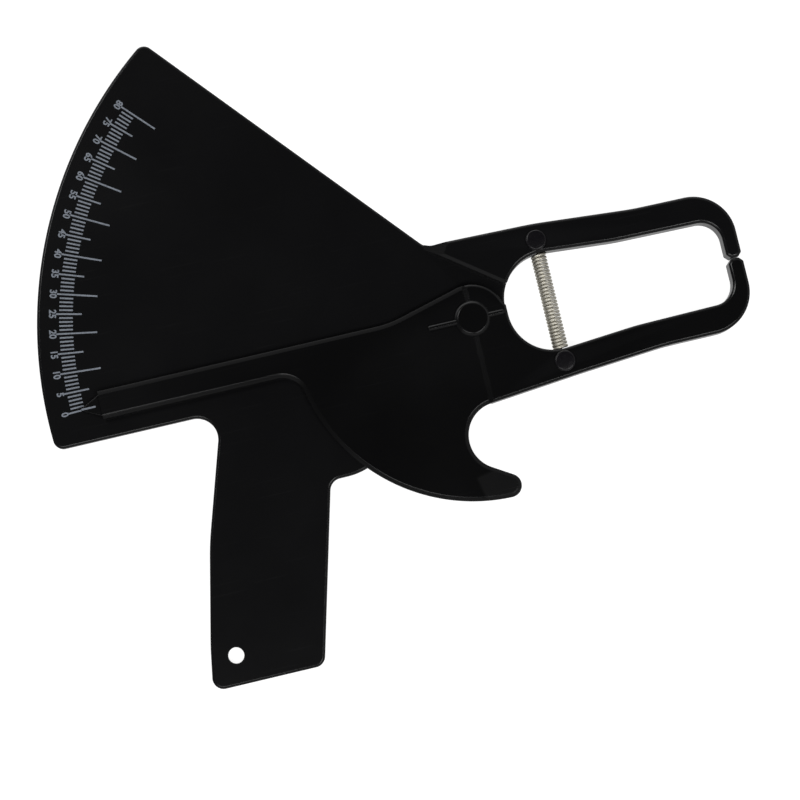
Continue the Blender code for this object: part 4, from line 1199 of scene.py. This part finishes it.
route = [(PIN_X + x, PIN_HALF + y, HOOK_LEVEL) for x, y in hook[::-1]]
route += [(PIN_X, coil_half + SPRING_WIRE, HOOK_LEVEL), *coil, (PIN_X, -coil_half - SPRING_WIRE, HOOK_LEVEL)]
route += [(PIN_X - x, -PIN_HALF - y, HOOK_LEVEL) for x, y in hook]
wire = bpy.data.curves.new("wound_spring", "CURVE")
wire.dimensions = "3D"
line = wire.splines.new("POLY")
line.points.add(len(route) - 1)
for knot, place in zip(line.points, route):
    knot.co = (*(Vector(place) + hinge), 1.0)
guide = add_object("spring_guide", wire)
wound_spring = add_object("wound_spring", grown(guide, winding, {"Wire Radius": SPRING_WIRE / 2}))
bpy.data.objects.remove(guide, do_unlink=True)
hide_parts("tension_spring")
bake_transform(wound_spring)

# The stage is a plain pale table in a light tent, seen from above with a long lens. The tent is dark overhead
# and dim on its left, with a bright low part at the top left, and three soft lamps stand in it.
TABLE_DROP = 0.0002
TABLE_HALF = 20.0
PHOTO_TURN = -13.3
PHOTO_TILT = 5.0
PHOTO_SIDE = -1.5
PHOTO_TARGET = (-0.003995, -0.032759, 0.0)
CAMERA_DISTANCE = 1.0236
CAMERA_LENS = 117.0
CAMERA_SENSOR = 36.0
TABLE_GLOW_SEEN = 0.9
TABLE_GLOW_REFLECTED = 0.38
TABLE_GREY = (0.36, 0.36, 0.36, 1)
TABLE_ROUGHNESS = 0.9
TENT_LEVELS = ((0.0, 0.28), (0.2, 0.3), (0.34, 0.7), (0.46, 0.34), (0.6, 0.3), (0.76, 0.12), (0.92, 0.01))
TENT_BRIGHT_AZIMUTH = 120.0
TENT_BRIGHT_EDGES = (0.55, 0.9)
TENT_BRIGHT_LEVEL = 1.65
TENT_BRIGHT_TOP = (0.2, 0.32)
TENT_DARK_AZIMUTH = 175.0
TENT_DARK_EDGES = (0.45, 0.62)
TENT_DARK_SHARE = 0.75
LAMPS = (("low_right_lamp", 322, 61, 7.2), ("low_lamp", 254, 62, 5.4), ("top_left_lamp", 148, 52, 7.0))
LAMP_DISTANCE = 1.6
LAMP_SIZE = 0.6

table_paint, table_tree, table_shader, _ = new_material("pale_table")
rays = add_node(table_tree, "ShaderNodeLightPath")
bent = maths(table_tree, "MAXIMUM", rays.outputs["Is Glossy Ray"], rays.outputs["Is Transmission Ray"])
reflected = maths(table_tree, "MULTIPLY", bent, TABLE_GLOW_REFLECTED)
glow = maths(table_tree, "MULTIPLY_ADD", rays.outputs["Is Camera Ray"], TABLE_GLOW_SEEN, reflected)
feed(table_tree, table_shader, {
    "Base Color": TABLE_GREY, "Roughness": TABLE_ROUGHNESS, "Specular IOR Level": 0.0,
    "Emission Color": (1, 1, 1, 1), "Emission Strength": glow,
})
table = add_object("pale_table", bpy.data.meshes.new("pale_table"))
table_sides = ((-1, -1), (1, -1), (1, 1), (-1, 1))
table_corners = [(x * TABLE_HALF, y * TABLE_HALF, -TABLE_DROP) for x, y in table_sides]
table.data.from_pydata(table_corners, [], [(0, 1, 2, 3)])
table.data.materials.append(table_paint)

photo_frame = Matrix.Rotation(math.radians(PHOTO_TURN), 3, "Z")
target = Vector(PHOTO_TARGET)
for lamp_name, azimuth, elevation, watts in LAMPS:
    level, rise = at(1, elevation)
    toward = photo_frame @ Vector((*at(level, azimuth), rise))
    light = bpy.data.lights.new(lamp_name, "AREA")
    light.shape = "SQUARE"
    light.size = LAMP_SIZE
    light.energy = watts
    lamp = add_object(lamp_name, light)
    turned_lamp = toward.to_track_quat("Z", "Y").to_matrix().to_4x4()
    lamp.matrix_world = Matrix.Translation(target + toward * LAMP_DISTANCE) @ turned_lamp

studio = bpy.data.worlds.new("studio")
bpy.context.scene.world = studio
studio.use_nodes = True
tent = studio.node_tree
heading = add_node(tent, "ShaderNodeTexCoord").outputs["Generated"]
height = add_node(tent, "ShaderNodeSeparateXYZ", {0: heading}).outputs["Z"]
band = add_node(tent, "ShaderNodeValToRGB", {0: height})
while len(band.color_ramp.elements) < len(TENT_LEVELS):
    band.color_ramp.elements.new(0.5)
for stop, (level_height, level) in zip(band.color_ramp.elements, TENT_LEVELS):
    stop.position = level_height
    stop.color = (level, level, level, 1)


def side_part(azimuth, edges, level):
    """A level that rises from nothing to full toward one side of the tent."""
    side = photo_frame @ Vector((*at(1, azimuth), 0))
    return ranged(tent, along_way(tent, heading, side), edges, (0.0, level))


bright_side = side_part(TENT_BRIGHT_AZIMUTH, TENT_BRIGHT_EDGES, TENT_BRIGHT_LEVEL)
lit = maths(tent, "MULTIPLY", bright_side, ranged(tent, height, TENT_BRIGHT_TOP, (1.0, 0.0)))
kept = maths(tent, "SUBTRACT", 1.0, side_part(TENT_DARK_AZIMUTH, TENT_DARK_EDGES, TENT_DARK_SHARE))
brightness = maths(tent, "MULTIPLY_ADD", band.outputs["Color"], kept, lit)
feed(tent, tent.nodes["Background"], {"Color": (1, 1, 1, 1), "Strength": brightness})

upright, sideways = at(1, PHOTO_SIDE)
upright, tilted = at(upright, PHOTO_TILT)
toward = photo_frame @ Vector((sideways, -tilted, upright))
across = (photo_frame @ Vector((0, 1, 0))).cross(toward).normalized()
lens = bpy.data.cameras.new("camera")
lens.lens = CAMERA_LENS
lens.sensor_width = CAMERA_SENSOR
camera = add_object("camera", lens)
turned_view = Matrix((across, toward.cross(across), toward)).transposed().to_4x4()
camera.matrix_world = Matrix.Translation(target + toward * CAMERA_DISTANCE) @ turned_view
bpy.context.scene.camera = camera
bpy.context.scene.view_settings.view_transform = "Standard"
